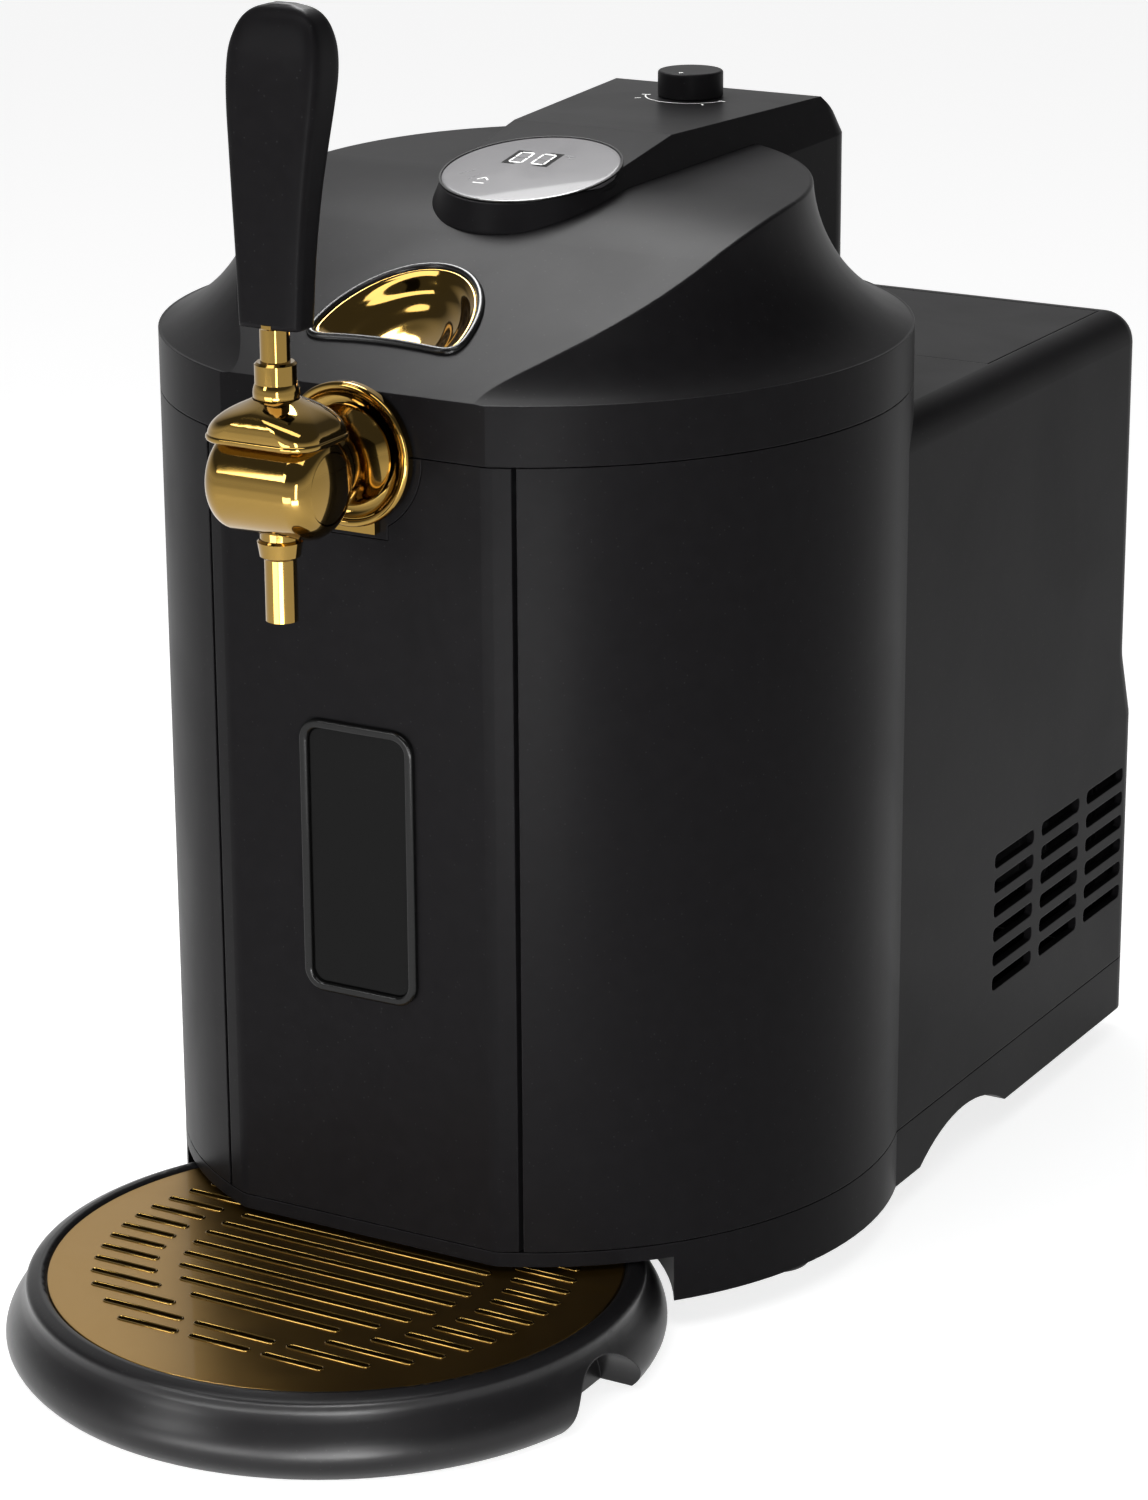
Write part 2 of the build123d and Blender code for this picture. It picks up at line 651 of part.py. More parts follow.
fin_t = 1.2
fin_count = 17
with BuildPart() as heatsink:
    with Locations((0, sink_front, sink_z)):
        Box(
            2 * sink_half, sink_base, 2 * sink_half,
            align=(Align.CENTER, Align.MIN, Align.CENTER),
        )
    with BuildSketch(Plane.XZ.offset(-sink_front - sink_base)):
        with Locations((0, sink_z)):
            with GridLocations((2 * sink_half - fin_t) / (fin_count - 1), 1, fin_count, 1):
                Rectangle(fin_t, 2 * sink_half)
    extrude(amount=-(sink_fin_end - sink_front - sink_base))
save(heatsink, "heatsink")

# ---------------------------------------------------------------- fan
fan_front = sink_fin_end
fan_rear = fan_front + fan_t
motor_r = 17.0
strut_w = 3.5
blade_count = 7
fan_holes = 2 * fan_half - 11.0
fan_hole_r = 2.2
with BuildPart() as fan_frame:
    with BuildSketch(Plane.XZ.offset(-fan_front)):
        with Locations((0, fan_z)):
            RectangleRounded(2 * fan_half, 2 * fan_half, 4)
            Circle(fan_r + 1.0, mode=Mode.SUBTRACT)
            with GridLocations(fan_holes, fan_holes, 2, 2):
                Circle(fan_hole_r, mode=Mode.SUBTRACT)
    extrude(amount=-fan_t)
    with BuildSketch(Plane.XZ.offset(-fan_rear + 3)):
        with Locations((0, fan_z)):
            Circle(motor_r)
            with PolarLocations(0, 4, start_angle=45):
                with Locations((fan_r / 2 + 6, 0)):
                    Rectangle(fan_r - 2, strut_w)
    extrude(amount=-3)
    with Locations(Plane((0, fan_rear - 3, fan_z), x_dir=(1, 0, 0), z_dir=(0, -1, 0))):
        Cylinder(4.0, 8, align=(Align.CENTER, Align.CENTER, Align.MIN))
        Cylinder(2.0, 8, align=(Align.CENTER, Align.CENTER, Align.MIN), mode=Mode.SUBTRACT)
save(fan_frame, "fan_frame")

with BuildPart() as fan_screws:
    with BuildSketch(Plane.XZ.offset(-fan_rear)):
        with Locations((0, fan_z)):
            with GridLocations(fan_holes, fan_holes, 2, 2):
                Circle(fan_hole_r - 0.2)
    extrude(amount=fan_t - 0.5)
    with BuildSketch(Plane.XZ.offset(-fan_rear)):
        with Locations((0, fan_z)):
            with GridLocations(fan_holes, fan_holes, 2, 2):
                Circle(screw_head_r)
    extrude(amount=-screw_head_t)
save(fan_screws, "fan_screws")

with BuildPart() as fan_rotor:
    with BuildSketch(Plane.XZ.offset(-fan_front - 2)):
        with Locations((0, fan_z)):
            Circle(motor_r)
    extrude(amount=-(fan_t - 6))
    with BuildSketch(Plane.XZ.offset(-fan_front - 5)):
        with Locations((0, fan_z)):
            Circle(motor_r - 2)
    extrude(amount=-(fan_t - 9), mode=Mode.SUBTRACT)
    with Locations(Plane((0, fan_front + 4, fan_z), x_dir=(1, 0, 0), z_dir=(0, 1, 0))):
        Cylinder(2.0 - fit, fan_t - 7, align=(Align.CENTER, Align.CENTER, Align.MIN))
    for k in range(blade_count):
        turn = 360 / blade_count * k
        root = Plane((0, fan_front + fan_t / 2 - 1, fan_z), x_dir=(cos(radians(turn)), 0, sin(radians(turn))), z_dir=(0, -1, 0))
        across = Plane(root.origin, x_dir=root.y_dir, z_dir=root.x_dir)
        with BuildSketch(across.offset(motor_r - 0.6)):
            Rectangle(17, 1.4, rotation=35)
        with BuildSketch(across.offset(fan_r)):
            Rectangle(27, 1.2, rotation=28)
        loft()
    with Locations(Plane((0, fan_front, fan_z), x_dir=(1, 0, 0), z_dir=(0, 1, 0))):
        Cylinder(fan_r, fan_t, align=(Align.CENTER, Align.CENTER, Align.MIN), mode=Mode.INTERSECT)
save(fan_rotor, "fan_rotor")

with BuildPart() as fan_duct:
    with BuildSketch(Plane.XZ.offset(-fan_rear)):
        with Locations((0, fan_z)):
            RectangleRounded(2 * fan_half, 2 * fan_half, 4)
            RectangleRounded(2 * fan_half - 4, 2 * fan_half - 4, 3, mode=Mode.SUBTRACT)
    extrude(amount=-(rear_y - wall - fan_rear))
save(fan_duct, "fan_duct")

# ---------------------------------------------------------------- electronics
with BuildPart() as power_board:
    with Locations((0, board_y, board_z)):
        Box(*board_size, align=(Align.CENTER, Align.CENTER, Align.MIN))
    top = board_z + board_size[2]
    with Locations((-34, board_y, top)):
        Box(40, 34, 28, align=(Align.CENTER, Align.CENTER, Align.MIN))
    with Locations((20, board_y - 18, top), (20, board_y + 16, top)):
        Cylinder(9, 26, align=(Align.CENTER, Align.CENTER, Align.MIN))
    with Locations((48, board_y, top)):
        Box(14, 60, 22, align=(Align.CENTER, Align.CENTER, Align.MIN))
save(power_board, "power_board")

# ================================================================ lid
bell_arc_r = 57.0
lid_bottom = lid_seam + seam / 2
slot_r = shank_r + 0.8       # opening in the lid's front that straddles the shank


def bell_section(inset=0.0, bottom=0.0):
    """Half section of the lid as a body of revolution: band, then concave flank."""
    with BuildSketch(Plane.XZ) as section:
        with BuildLine():
            low = (drum_r - inset, lid_band_top - 0.6 * inset)
            high = (bell_r - inset, bell_top)
            turn = bell_arc_r + inset
            centre_x = bell_r - inset + turn
            mid_angle = radians(40)
            mid = (centre_x - turn * cos(mid_angle), bell_top - turn * sin(mid_angle))
            Line((0, bottom), (drum_r - inset, bottom))
            Line((drum_r - inset, bottom), low)
            reach = sqrt(turn**2 - (bell_top - low[1]) ** 2)
            Line(low, (centre_x - reach, low[1]))
            ThreePointArc((centre_x - reach, low[1]), mid, high)
            Polyline(high, (bell_r - inset, bell_top + 10), (0, bell_top + 10), (0, bottom))
        make_face()
    return section.sketch


def ramp_block(drop=0.0, bottom=0.0):
    """Everything below the lid's ramp, as a wide block with its flat front."""
    with BuildPart() as block:
        with BuildSketch(Plane.YZ) as side:
            with BuildLine():
                Polyline(
                    (-facet_y + drop, bottom),
                    (-facet_y + drop, ramp_front_z - drop * 0.65),
                    (ramp_knee[0], ramp_knee[1] - drop),
                    (ramp_rear[0] + 20, ramp_rear[1] - drop),
                    (ramp_rear[0] + 20, bottom),
                    close=True,
                )
            make_face()
            knee = side.vertices().filter_by_position(Axis.X, ramp_knee[0] - 0.1, ramp_knee[0] + 0.1)
            fillet(knee, ramp_knee_r)
        extrude(amount=drum_r + 10, both=True)
    return block.part


def console_plan(inset=0.0):
    """Plan of the console: round at the display, widening towards the hinge."""
    r = bezel_r - inset
    half = console_half - inset
    rear = console_rear - inset
    run = rear - display_y
    # the straight side touches the round front, so its direction follows from both
    lean = atan2(half - r, run)
    touch = (r * cos(lean), display_y - r * sin(lean))
    with BuildSketch() as plan:
        with BuildLine():
            ThreePointArc(touch, (0, display_y - r), (-touch[0], touch[1]))
            Polyline((-touch[0], touch[1]), (-half, rear), (half, rear), touch)
        make_face()
        fillet(plan.vertices().group_by(Axis.Y)[-1], console_corner_r - inset)
    return plan.sketch


display_plane = Plane(
    (0, display_y, display_z),
    x_dir=(1, 0, 0),
    z_dir=(0, -sin(radians(display_tilt)), cos(radians(display_tilt))),
)


def display_height(y):
    """Height of the display's plane over a point on the centre line."""
    return display_z + (y - display_y) * tan(radians(display_tilt))


def console_solid(inset=0.0, bottom=console_bottom):
    """Solid of the console above its shoulder line and down to the hinge."""
    shelf_z, shelf_slope = console_shelf
    shelf = Plane(
        (0, 0, shelf_z - inset),
        x_dir=(1, 0, 0),
        z_dir=(0, -sin(radians(shelf_slope)), cos(radians(shelf_slope))),
    )
    with BuildPart() as body:
        with BuildSketch(shelf):
            add(console_plan(inset))
        with BuildSketch(shelf.offset(console_rise)):
            add(console_plan(inset + console_rise * tan(radians(console_draft))))
        loft()
        with BuildSketch(shelf):
            add(console_plan(inset))
        extrude(amount=shelf_z + 20 - bottom, dir=(0, 0, -1))
        with BuildSketch(Plane.YZ) as above:
            with BuildLine():
                flat_start = display_y + (console_top - display_z) / tan(radians(display_tilt))
                Polyline(
                    (-60, bottom),
                    (-60, display_height(-60) - inset),
                    (flat_start, console_top - inset),
                    (console_rear - 15, console_top - inset),
                    (console_rear, console_top - 15 - inset),
                    (console_rear, bottom),
                    close=True,
                )
            make_face()
        extrude(amount=drum_r, both=True, mode=Mode.INTERSECT)
    return body.part


# ---------------------------------------------------------------- finger pull on the ramp
pull_x = -2.5
pull_half = 28.6
pull_front = -98.6       # along Y
pull_back = -58.6
pull_bow = 2.4           # the front edge is bowed towards the rear
pull_depth = 11.0
pull_wall = 1.5
pull_trim = 2.8
pull_corner_r = 5.5
ramp_angle = atan2(ramp_knee[1] - ramp_front_z, ramp_knee[0] + facet_y)


def ramp_z(y):
    """Height of the straight part of the ramp."""
    return ramp_front_z + (y + facet_y) * tan(ramp_angle)


pull_plane = Plane(
    (pull_x, pull_front, ramp_z(pull_front)),
    x_dir=(1, 0, 0),
    z_dir=(0, -sin(ramp_angle), cos(ramp_angle)),
)


def pull_outline(grow=0.0):
    """Crescent outline of the finger pull, in the plane of the ramp."""
    reach = (pull_back - pull_front) / cos(ramp_angle)
    half = pull_half + grow
    with BuildSketch() as outline:
        with BuildLine():
            ThreePointArc((-half, -grow), (0, pull_bow - grow), (half, -grow))
            Spline(
                (half, -grow), (0.94 * half, 0.38 * reach + 0.4 * grow), (0.72 * half, 0.71 * reach + 0.7 * grow),
                (0.38 * half, 0.93 * reach + 0.9 * grow), (0, reach + grow),
                (-0.38 * half, 0.93 * reach + 0.9 * grow), (-0.72 * half, 0.71 * reach + 0.7 * grow),
                (-0.94 * half, 0.38 * reach + 0.4 * grow), (-half, -grow),
                tangents=((0, 1), (0, -1)),
            )
        make_face()
        fillet(outline.vertices(), pull_corner_r + grow)
    return outline.sketch



ramp_edge_r = 1.2
console_hole_inset = 6.0
cradle_y = knob_y + 3.0
bottle_r = 11.0
bottle_z = 332.0
liner_ceiling = 326.0        # the lid's liner clears the keg coupler below it
plug_r = 96.0
gasket_r = (100.0, 106.0)

with BuildPart() as lid_cover:
    add(bell_section(0, lid_bottom))
    revolve(axis=Axis.Z)
    add(ramp_block(0, lid_bottom - 5), mode=Mode.INTERSECT)
    crest = [
        e for e in lid_cover.edges()
        if e.center().Z > lid_band_top + 3 and e.geom_type != GeomType.LINE and abs(e.center().X) > 20
    ]
    fillet(crest, ramp_edge_r)
    with BuildPart(mode=Mode.PRIVATE) as lid_hollow:
        add(bell_section(lid_wall, lid_bottom - 1))
        revolve(axis=Axis.Z)
        add(ramp_block(lid_wall, lid_bottom - 5), mode=Mode.INTERSECT)
    add(lid_hollow.part, mode=Mode.SUBTRACT)
    # open towards the console's gas space
    with BuildSketch(Plane.XY.offset(lid_bottom + 10)):
        add(console_plan(console_hole_inset))
        with Locations((0, 30)):
            Rectangle(200, 60, mode=Mode.SUBTRACT)
        with Locations((0, -100)):
            Rectangle(200, 200, mode=Mode.SUBTRACT)
    extrude(amount=100, mode=Mode.SUBTRACT)
    # room for the display's board and for the finger pull's pocket
    with BuildSketch(Plane.XY.offset(lid_band_top)):
        with Locations((0, display_y)):
            Circle(display_r - 1.5)
    extrude(amount=100, mode=Mode.SUBTRACT)
    with BuildSketch(pull_plane.offset(-8)):
        add(pull_outline(0.05))
    extrude(amount=16, mode=Mode.SUBTRACT)
    # slot over the shank
    with BuildSketch(Plane.XZ.offset(facet_y + 5)):
        with Locations((0, shank_z)):
            Circle(slot_r)
        with Locations((0, shank_z - 20)):
            Rectangle(2 * slot_r, 40)
    extrude(amount=-15, mode=Mode.SUBTRACT)
save(lid_cover, "lid_cover")

with BuildPart() as console_cover:
    add(console_solid())
    add(console_solid(console_wall, console_bottom - 1), mode=Mode.SUBTRACT)
    with BuildSketch(display_plane.offset(-console_wall)):
        Circle(display_r + 0.8)
    extrude(amount=-3)
    with BuildPart(mode=Mode.PRIVATE) as under_console:
        add(bell_section(0, lid_bottom - 20))
        revolve(axis=Axis.Z)
        add(ramp_block(0, lid_bottom - 30), mode=Mode.INTERSECT)
    add(under_console.part, mode=Mode.SUBTRACT)
    with Locations((0, 0, lid_bottom)):
        Cylinder(
            drum_r + console_room, lid_bottom - console_bottom + 1,
            align=(Align.CENTER, Align.CENTER, Align.MAX), mode=Mode.SUBTRACT,
        )
    # seat of the display, and the bore that the knob's spindle passes through
    with BuildSketch(display_plane.offset(display_rise - display_t)):
        Circle(display_r + fit)
    extrude(amount=6, mode=Mode.SUBTRACT)
    with BuildSketch(display_plane.offset(-14)):
        Circle(display_r - 3.0)
    extrude(amount=16, mode=Mode.SUBTRACT)
    with Locations((0, knob_y, console_top)):
        Cylinder(spindle_r + 1.0, 20, mode=Mode.SUBTRACT)
save(console_cover, "console_cover")

# ---------------------------------------------------------------- display
with BuildPart() as display_lens:
    with BuildSketch(display_plane.offset(display_rise - display_t)):
        Circle(display_r)
    extrude(amount=display_t)
save(display_lens, "display_lens")

with BuildPart() as display_bezel:
    with BuildSketch(display_plane):
        Circle(display_r + 0.8)
        Circle(display_r + fit, mode=Mode.SUBTRACT)
    extrude(amount=display_rise + 0.2)
save(display_bezel, "display_bezel")

with BuildPart() as display_board:
    with BuildSketch(display_plane.offset(display_rise - display_t)):
        Circle(display_r - 3.5)
    extrude(amount=-1.6)
    with BuildSketch(display_plane.offset(display_rise - display_t - 1.6)):
        Rectangle(22, 12)
    extrude(amount=-3)
save(display_board, "display_board")

with BuildPart() as finger_pull:
    with BuildSketch(pull_plane.offset(0.4)):
        add(pull_outline())
    with BuildSketch(pull_plane.offset(-pull_depth)):
        add(pull_outline(-3.0))
    loft()
    with BuildSketch(pull_plane.offset(0.41)):
        add(pull_outline(-pull_wall))
    with BuildSketch(pull_plane.offset(-pull_depth + pull_wall)):
        add(pull_outline(-4.5))
    loft(mode=Mode.SUBTRACT)
save(finger_pull, "finger_pull")

with BuildPart() as finger_pull_trim:
    with BuildSketch(pull_plane):
        add(pull_outline(pull_trim))
        add(pull_outline(0.05), mode=Mode.SUBTRACT)
    extrude(amount=1.6)
save(finger_pull_trim, "finger_pull_trim")

# ---------------------------------------------------------------- lid liner, foam and gasket
liner_wall = 2.2
with BuildPart() as lid_liner:
    with BuildSketch(Plane.XY.offset(lid_bottom)):
        add(drum_plan(lid_wall + gap))
        Circle(plug_r, mode=Mode.SUBTRACT)
    extrude(amount=liner_wall)
    with BuildSketch(Plane.XY.offset(lid_bottom)):
        Circle(plug_r + liner_wall)
        Circle(plug_r, mode=Mode.SUBTRACT)
    extrude(amount=liner_ceiling - lid_bottom)
    with BuildSketch(Plane.XY.offset(liner_ceiling)):
        Circle(plug_r + liner_wall)
    extrude(amount=liner_wall)
    # way out for the shank and its nut
    with BuildSketch(Plane.XY.offset(lid_bottom - 1)):
        with Locations((0, -drum_r)):
            Rectangle(2 * shank_room, 2 * (drum_r - 90))
    extrude(amount=liner_ceiling - lid_bottom + 1, mode=Mode.SUBTRACT)
save(lid_liner, "lid_liner")

with BuildPart() as lid_gasket:
    with BuildSketch(Plane.XY.offset(rim_z + liner_t + rim_t + gap)):
        Circle(gasket_r[1])
        Circle(gasket_r[0], mode=Mode.SUBTRACT)
        with Locations((0, -drum_r)):
            Rectangle(2 * shank_room, 2 * (drum_r - 90), mode=Mode.SUBTRACT)
    extrude(amount=lid_bottom - rim_z - liner_t - rim_t - gap)
save(lid_gasket, "lid_gasket")

foam_r = 80.0
foam_top = 344.0
with BuildPart() as lid_foam:
    with BuildSketch(Plane.XY.offset(liner_ceiling + liner_wall)):
        Circle(foam_r)
        with Locations((0, -drum_r)):
            Rectangle(2 * drum_r, 2 * (drum_r - 58), mode=Mode.SUBTRACT)
    extrude(amount=foam_top - liner_ceiling - liner_wall)
save(lid_foam, "lid_foam")

# ---------------------------------------------------------------- gas regulator and cartridge
regulator_half = (16.0, 15.0)
regulator_z = (348.0, console_top - console_wall - gap)
bottle_half = 39.5
cradle_t = 2.5
with BuildPart() as regulator:
    with BuildSketch(Plane.XY.offset(regulator_z[0])):
        with Locations((0, knob_y)):
            RectangleRounded(2 * regulator_half[0], 2 * regulator_half[1], 4)
    extrude(amount=regulator_z[1] - regulator_z[0] - 8)
    with Locations((0, knob_y, regulator_z[1] - 8)):
        Cylinder(9, 8, align=(Align.CENTER, Align.CENTER, Align.MIN))
    with Locations((0, knob_y, regulator_z[1] - 26)):
        Cylinder(spindle_r + fit, 30, align=(Align.CENTER, Align.CENTER, Align.MIN), mode=Mode.SUBTRACT)
save(regulator, "regulator")

with BuildPart() as gas_bottle:
    with BuildSketch(Plane((0, cradle_y, bottle_z), x_dir=(1, 0, 0), z_dir=(0, 0, 1))):
        with BuildLine():
            tail = -bottle_half + bottle_r
            neck = bottle_half - 20
            slant = bottle_r * sin(radians(45))
            ThreePointArc((-bottle_half, 0), (tail - slant, slant), (tail, bottle_r))
            Polyline(
                (tail, bottle_r), (neck, bottle_r), (neck + 9, 4.5), (bottle_half, 4.5),
                (bottle_half, 0), (-bottle_half, 0),
            )
        make_face()
    revolve(axis=Axis((0, cradle_y, bottle_z), (1, 0, 0)))
save(gas_bottle, "gas_bottle")

with BuildPart() as cartridge_cradle:
    with BuildSketch(Plane.YZ.offset(-bottle_half + 6)):
        with Locations((cradle_y, bottle_z)):
            Circle(bottle_r + cradle_t)
            Circle(bottle_r + fit, mode=Mode.SUBTRACT)
            with Locations((0, bottle_r + 2)):
                Rectangle(4 * bottle_r, 2 * bottle_r, mode=Mode.SUBTRACT)
        with Locations((cradle_y, (lid_bottom + liner_wall + bottle_z - bottle_r) / 2)):
            Rectangle(8, bottle_z - bottle_r - lid_bottom - liner_wall)
    extrude(amount=2 * bottle_half - 30)
    # post that carries the regulator
    with BuildSketch(Plane.XY.offset(bottle_z + bottle_r + gap)):
        with Locations((0, knob_y)):
            Rectangle(2 * regulator_half[0], 2 * regulator_half[1])
    extrude(amount=regulator_z[0] - bottle_z - bottle_r - gap)
    for side in (-1, 1):
        with BuildSketch(Plane.XY.offset(bottle_z - 4)):
            with Locations((side * 13, cradle_y - bottle_r - cradle_t - 1.0)):
                Rectangle(6, 4)
        extrude(amount=regulator_z[0] - bottle_z + 4)
save(cartridge_cradle, "cartridge_cradle")

# ---------------------------------------------------------------- knob
with BuildPart() as knob:
    with Locations((0, knob_y, console_top + knob_lift)):
        Cylinder(knob_r, knob_h, align=(Align.CENTER, Align.CENTER, Align.MIN))
    fillet(knob.edges().group_by(Axis.Z)[-1], 1.0)
    with BuildSketch(Plane.XY.offset(console_top + knob_lift + knob_h)):
        with Locations((0, knob_y - knob_r * 0.62)):
            Circle(0.9)
    extrude(amount=-0.4, mode=Mode.SUBTRACT)
    with Locations((0, knob_y, console_top)):
        Cylinder(spindle_r, 7, align=(Align.CENTER, Align.CENTER, Align.MIN), mode=Mode.SUBTRACT)
save(knob, "knob")

with BuildPart() as knob_spindle:
    with Locations((0, knob_y, regulator_z[1] - 25.5)):
        Cylinder(
            spindle_r, console_top + 7 - regulator_z[1] + 25.5,
            align=(Align.CENTER, Align.CENTER, Align.MIN),
        )
save(knob_spindle, "knob_spindle")

# ---------------------------------------------------------------- lid hinge
knuckle_half = ear_x[0] - gap
leaf_z = (322.0, 346.0)
leaf_rear = (console_rear - console_wall) * cos(radians(console_shelf[1]))
with BuildPart() as hinge_pin:
    with BuildSketch(Plane.YZ):
        with Locations((hinge_y, hinge_z)):
            Circle(pin_r)
    extrude(amount=ear_x[1] + 0.8, both=True)
save(hinge_pin, "hinge_pin")

with BuildPart() as lid_knuckle:
    with BuildSketch(Plane.YZ):
        with Locations((hinge_y, hinge_z)):
            Circle(ear_r)
        with Locations((hinge_y + ear_r - 1.5, (hinge_z + leaf_z[1]) / 2)):
            Rectangle(3.0, leaf_z[1] - hinge_z)
        with Locations(((hinge_y + ear_r + leaf_rear) / 2, sum(leaf_z) / 2)):
            Rectangle(leaf_rear - hinge_y - ear_r, leaf_z[1] - leaf_z[0])
        with Locations((hinge_y, hinge_z)):
            Circle(pin_r + fit, mode=Mode.SUBTRACT)
    extrude(amount=knuckle_half, both=True)
save(lid_knuckle, "lid_knuckle")

# ================================================================ tap
# sections of the crown over the barrel: height, half width, half depth, corner radius
crown = [
    (325.4, 20.6, 15.8, 9.0),
    (328.4, 20.2, 16.2, 10.0),
    (331.8, 17.8, 15.6, 11.0),
    (335.0, 13.4, 13.0, 11.8),
    (337.6, 7.9, 7.9, 7.8),
]
crown_lip = 1.2          # bead along the crown's front edge
crown_top = crown[-1][0]
cap_r = 12.0             # discs in the barrel's ends
cap_seat = 18.4
cap_bevel = 0.5
neck_r = 12.6
socket_r = ball_r + 0.3
plunger_bore = plunger_r + plunger_room
plunger_front = -174.0
plunger_travel = 12.3    # with the lever fully forward
bore_front = -179.5
boss_bottom = 291.2
tail_r = 2.2
tail_end = 312.0
groove_w = 8.4
flange_back = -facet_y - gap
flange_front = flange_back - flange_t
shank_front = flange_front + 1.5
plunger_rear = shank_front - plunger_travel - 0.5
shank_rear = -rim_notch_y - 0.5
shank_bore = 5.0
carrier_room = 0.3

valve_axis = Axis((0, 0, shank_z), (0, 1, 0))
tap_axis = Axis((0, tap_y, 0), (0, 0, 1))
along_valve = Plane((0, 0, shank_z), x_dir=(0, 1, 0), z_dir=(1, 0, 0))
across_tap = Plane((0, tap_y, 0), x_dir=(1, 0, 0), z_dir=(0, -1, 0))

with BuildPart() as tap_body:
    # barrel across the tap, with rounded ends
    with BuildSketch(Plane.YZ):
        with Locations((tap_y, shank_z)):
            Circle(barrel_r)
    extrude(amount=barrel_half, both=True)
    fillet(tap_body.edges().filter_by(GeomType.CIRCLE), barrel_edge_r)
    # crown over the barrel, with the bead of its brow
    with BuildPart() as hood:
        for height, half_x, half_y, corner in crown:
            with BuildSketch(Plane.XY.offset(height)):
                with Locations((0, tap_y)):
                    RectangleRounded(2 * half_x, 2 * half_y, corner)
        loft()
    with BuildPart(mode=Mode.PRIVATE) as lip:
        with BuildSketch(Plane.XY.offset(crown[0][0] - crown_lip)):
            with Locations((0, tap_y)):
                RectangleRounded(2 * crown[0][1] + 1.2, 2 * crown[0][2] + 1.2, crown[0][3] + 0.6)
        extrude(amount=2 * crown_lip)
        fillet(lip.edges().group_by(Axis.Z)[0] + lip.edges().group_by(Axis.Z)[-1], crown_lip - 0.1)
    add(lip.part)
    # neck with its rings, and the boss of the spout
    ring_front, ring_rear, bell_front = tap_y + 16.4, tap_y + 21.4, tap_y + 23.4
    with BuildSketch(along_valve):
        with BuildLine():
            Polyline(
                (tap_y, 0), (tap_y, neck_r), (ring_front, neck_r), (ring_front, neck_r + 2.6),
                (ring_rear, neck_r + 2.6), (ring_rear, neck_r + 0.4), (bell_front, neck_r + 0.4),
                (bell_front, neck_r + 1.6), (bell_front + 3, neck_r + 1.6),
            )
            ThreePointArc((bell_front + 3, neck_r + 1.6), (bell_front + 9.6, neck_r + 1.9), (flange_front + 0.5, neck_r + 4.6))
            Polyline(
                (flange_front + 0.5, neck_r + 4.6), (shank_front, neck_r + 4.6), (shank_front, 0), (tap_y, 0),
            )
        make_face()
    revolve(axis=valve_axis)
    with BuildSketch(Plane.XY.offset(boss_bottom)):
        with Locations((0, tap_y)):
            Circle(spout_r + 1.2)
    extrude(amount=shank_z - boss_bottom)
    # bore of the valve, ball socket, room for the lever's tail, outlet and seats of the end discs
    with BuildSketch(Plane.XZ.offset(-bore_front)):
        with Locations((0, shank_z)):
            Circle(plunger_bore)
    extrude(amount=-(shank_front - bore_front), mode=Mode.SUBTRACT)
    with Locations((0, tap_y, pivot_z)):
        Sphere(socket_r, mode=Mode.SUBTRACT)
    with BuildSketch(Plane.YZ):
        with BuildLine():
            Polyline(
                (tap_y - tail_r - 0.6, pivot_z - 4), (tap_y - tail_r - 0.6, shank_z),
                (tap_y + 15.5, shank_z), (tap_y + 15.5, shank_z + 7.5), (tap_y + 6, pivot_z - 4), close=True,
            )
        make_face()
    extrude(amount=tail_r + 0.5, both=True, mode=Mode.SUBTRACT)
    with Locations((0, tap_y, shank_z)):
        Cylinder(
            spout_bore + 0.5, shank_z - boss_bottom + 1, align=(Align.CENTER, Align.CENTER, Align.MAX),
            mode=Mode.SUBTRACT,
        )
    for side in (-1, 1):
        with BuildSketch(Plane.YZ.offset(side * cap_seat)):
            with Locations((tap_y, shank_z)):
                Circle(cap_r + fit)
        extrude(amount=side * 10, mode=Mode.SUBTRACT)
save(tap_body, "tap_body")

with BuildPart() as tap_end_caps:
    with BuildSketch(Plane((0, tap_y, shank_z), x_dir=(1, 0, 0), z_dir=(0, -1, 0))):
        with BuildLine():
            rim_x = barrel_half - 0.6
            Polyline(
                (barrel_half + 1.2, 0), (cap_seat, 0), (cap_seat, cap_r), (rim_x - cap_bevel, cap_r),
                (rim_x, cap_r - cap_bevel),
            )
            TangentArc((barrel_half + 1.2, 0), (rim_x, cap_r - cap_bevel), tangent=(0, 1))
        make_face()
    revolve(axis=Axis((0, tap_y, shank_z), (1, 0, 0)))
    mirror(about=Plane.YZ)
save(tap_end_caps, "tap_end_caps")

with BuildPart() as tap_spout:
    with BuildSketch(across_tap):
        with BuildLine():
            Polyline(
                (spout_bore, spout_end), (spout_r, spout_end), (spout_r, boss_bottom - 6.6), (spout_r + 1.4, boss_bottom - 5.6),
                (spout_r + 2.2, boss_bottom - 0.8), (spout_r + 1.6, boss_bottom), (spout_bore, boss_bottom),
                close=True,
            )
        make_face()
    revolve(axis=tap_axis)
save(tap_spout, "tap_spout")

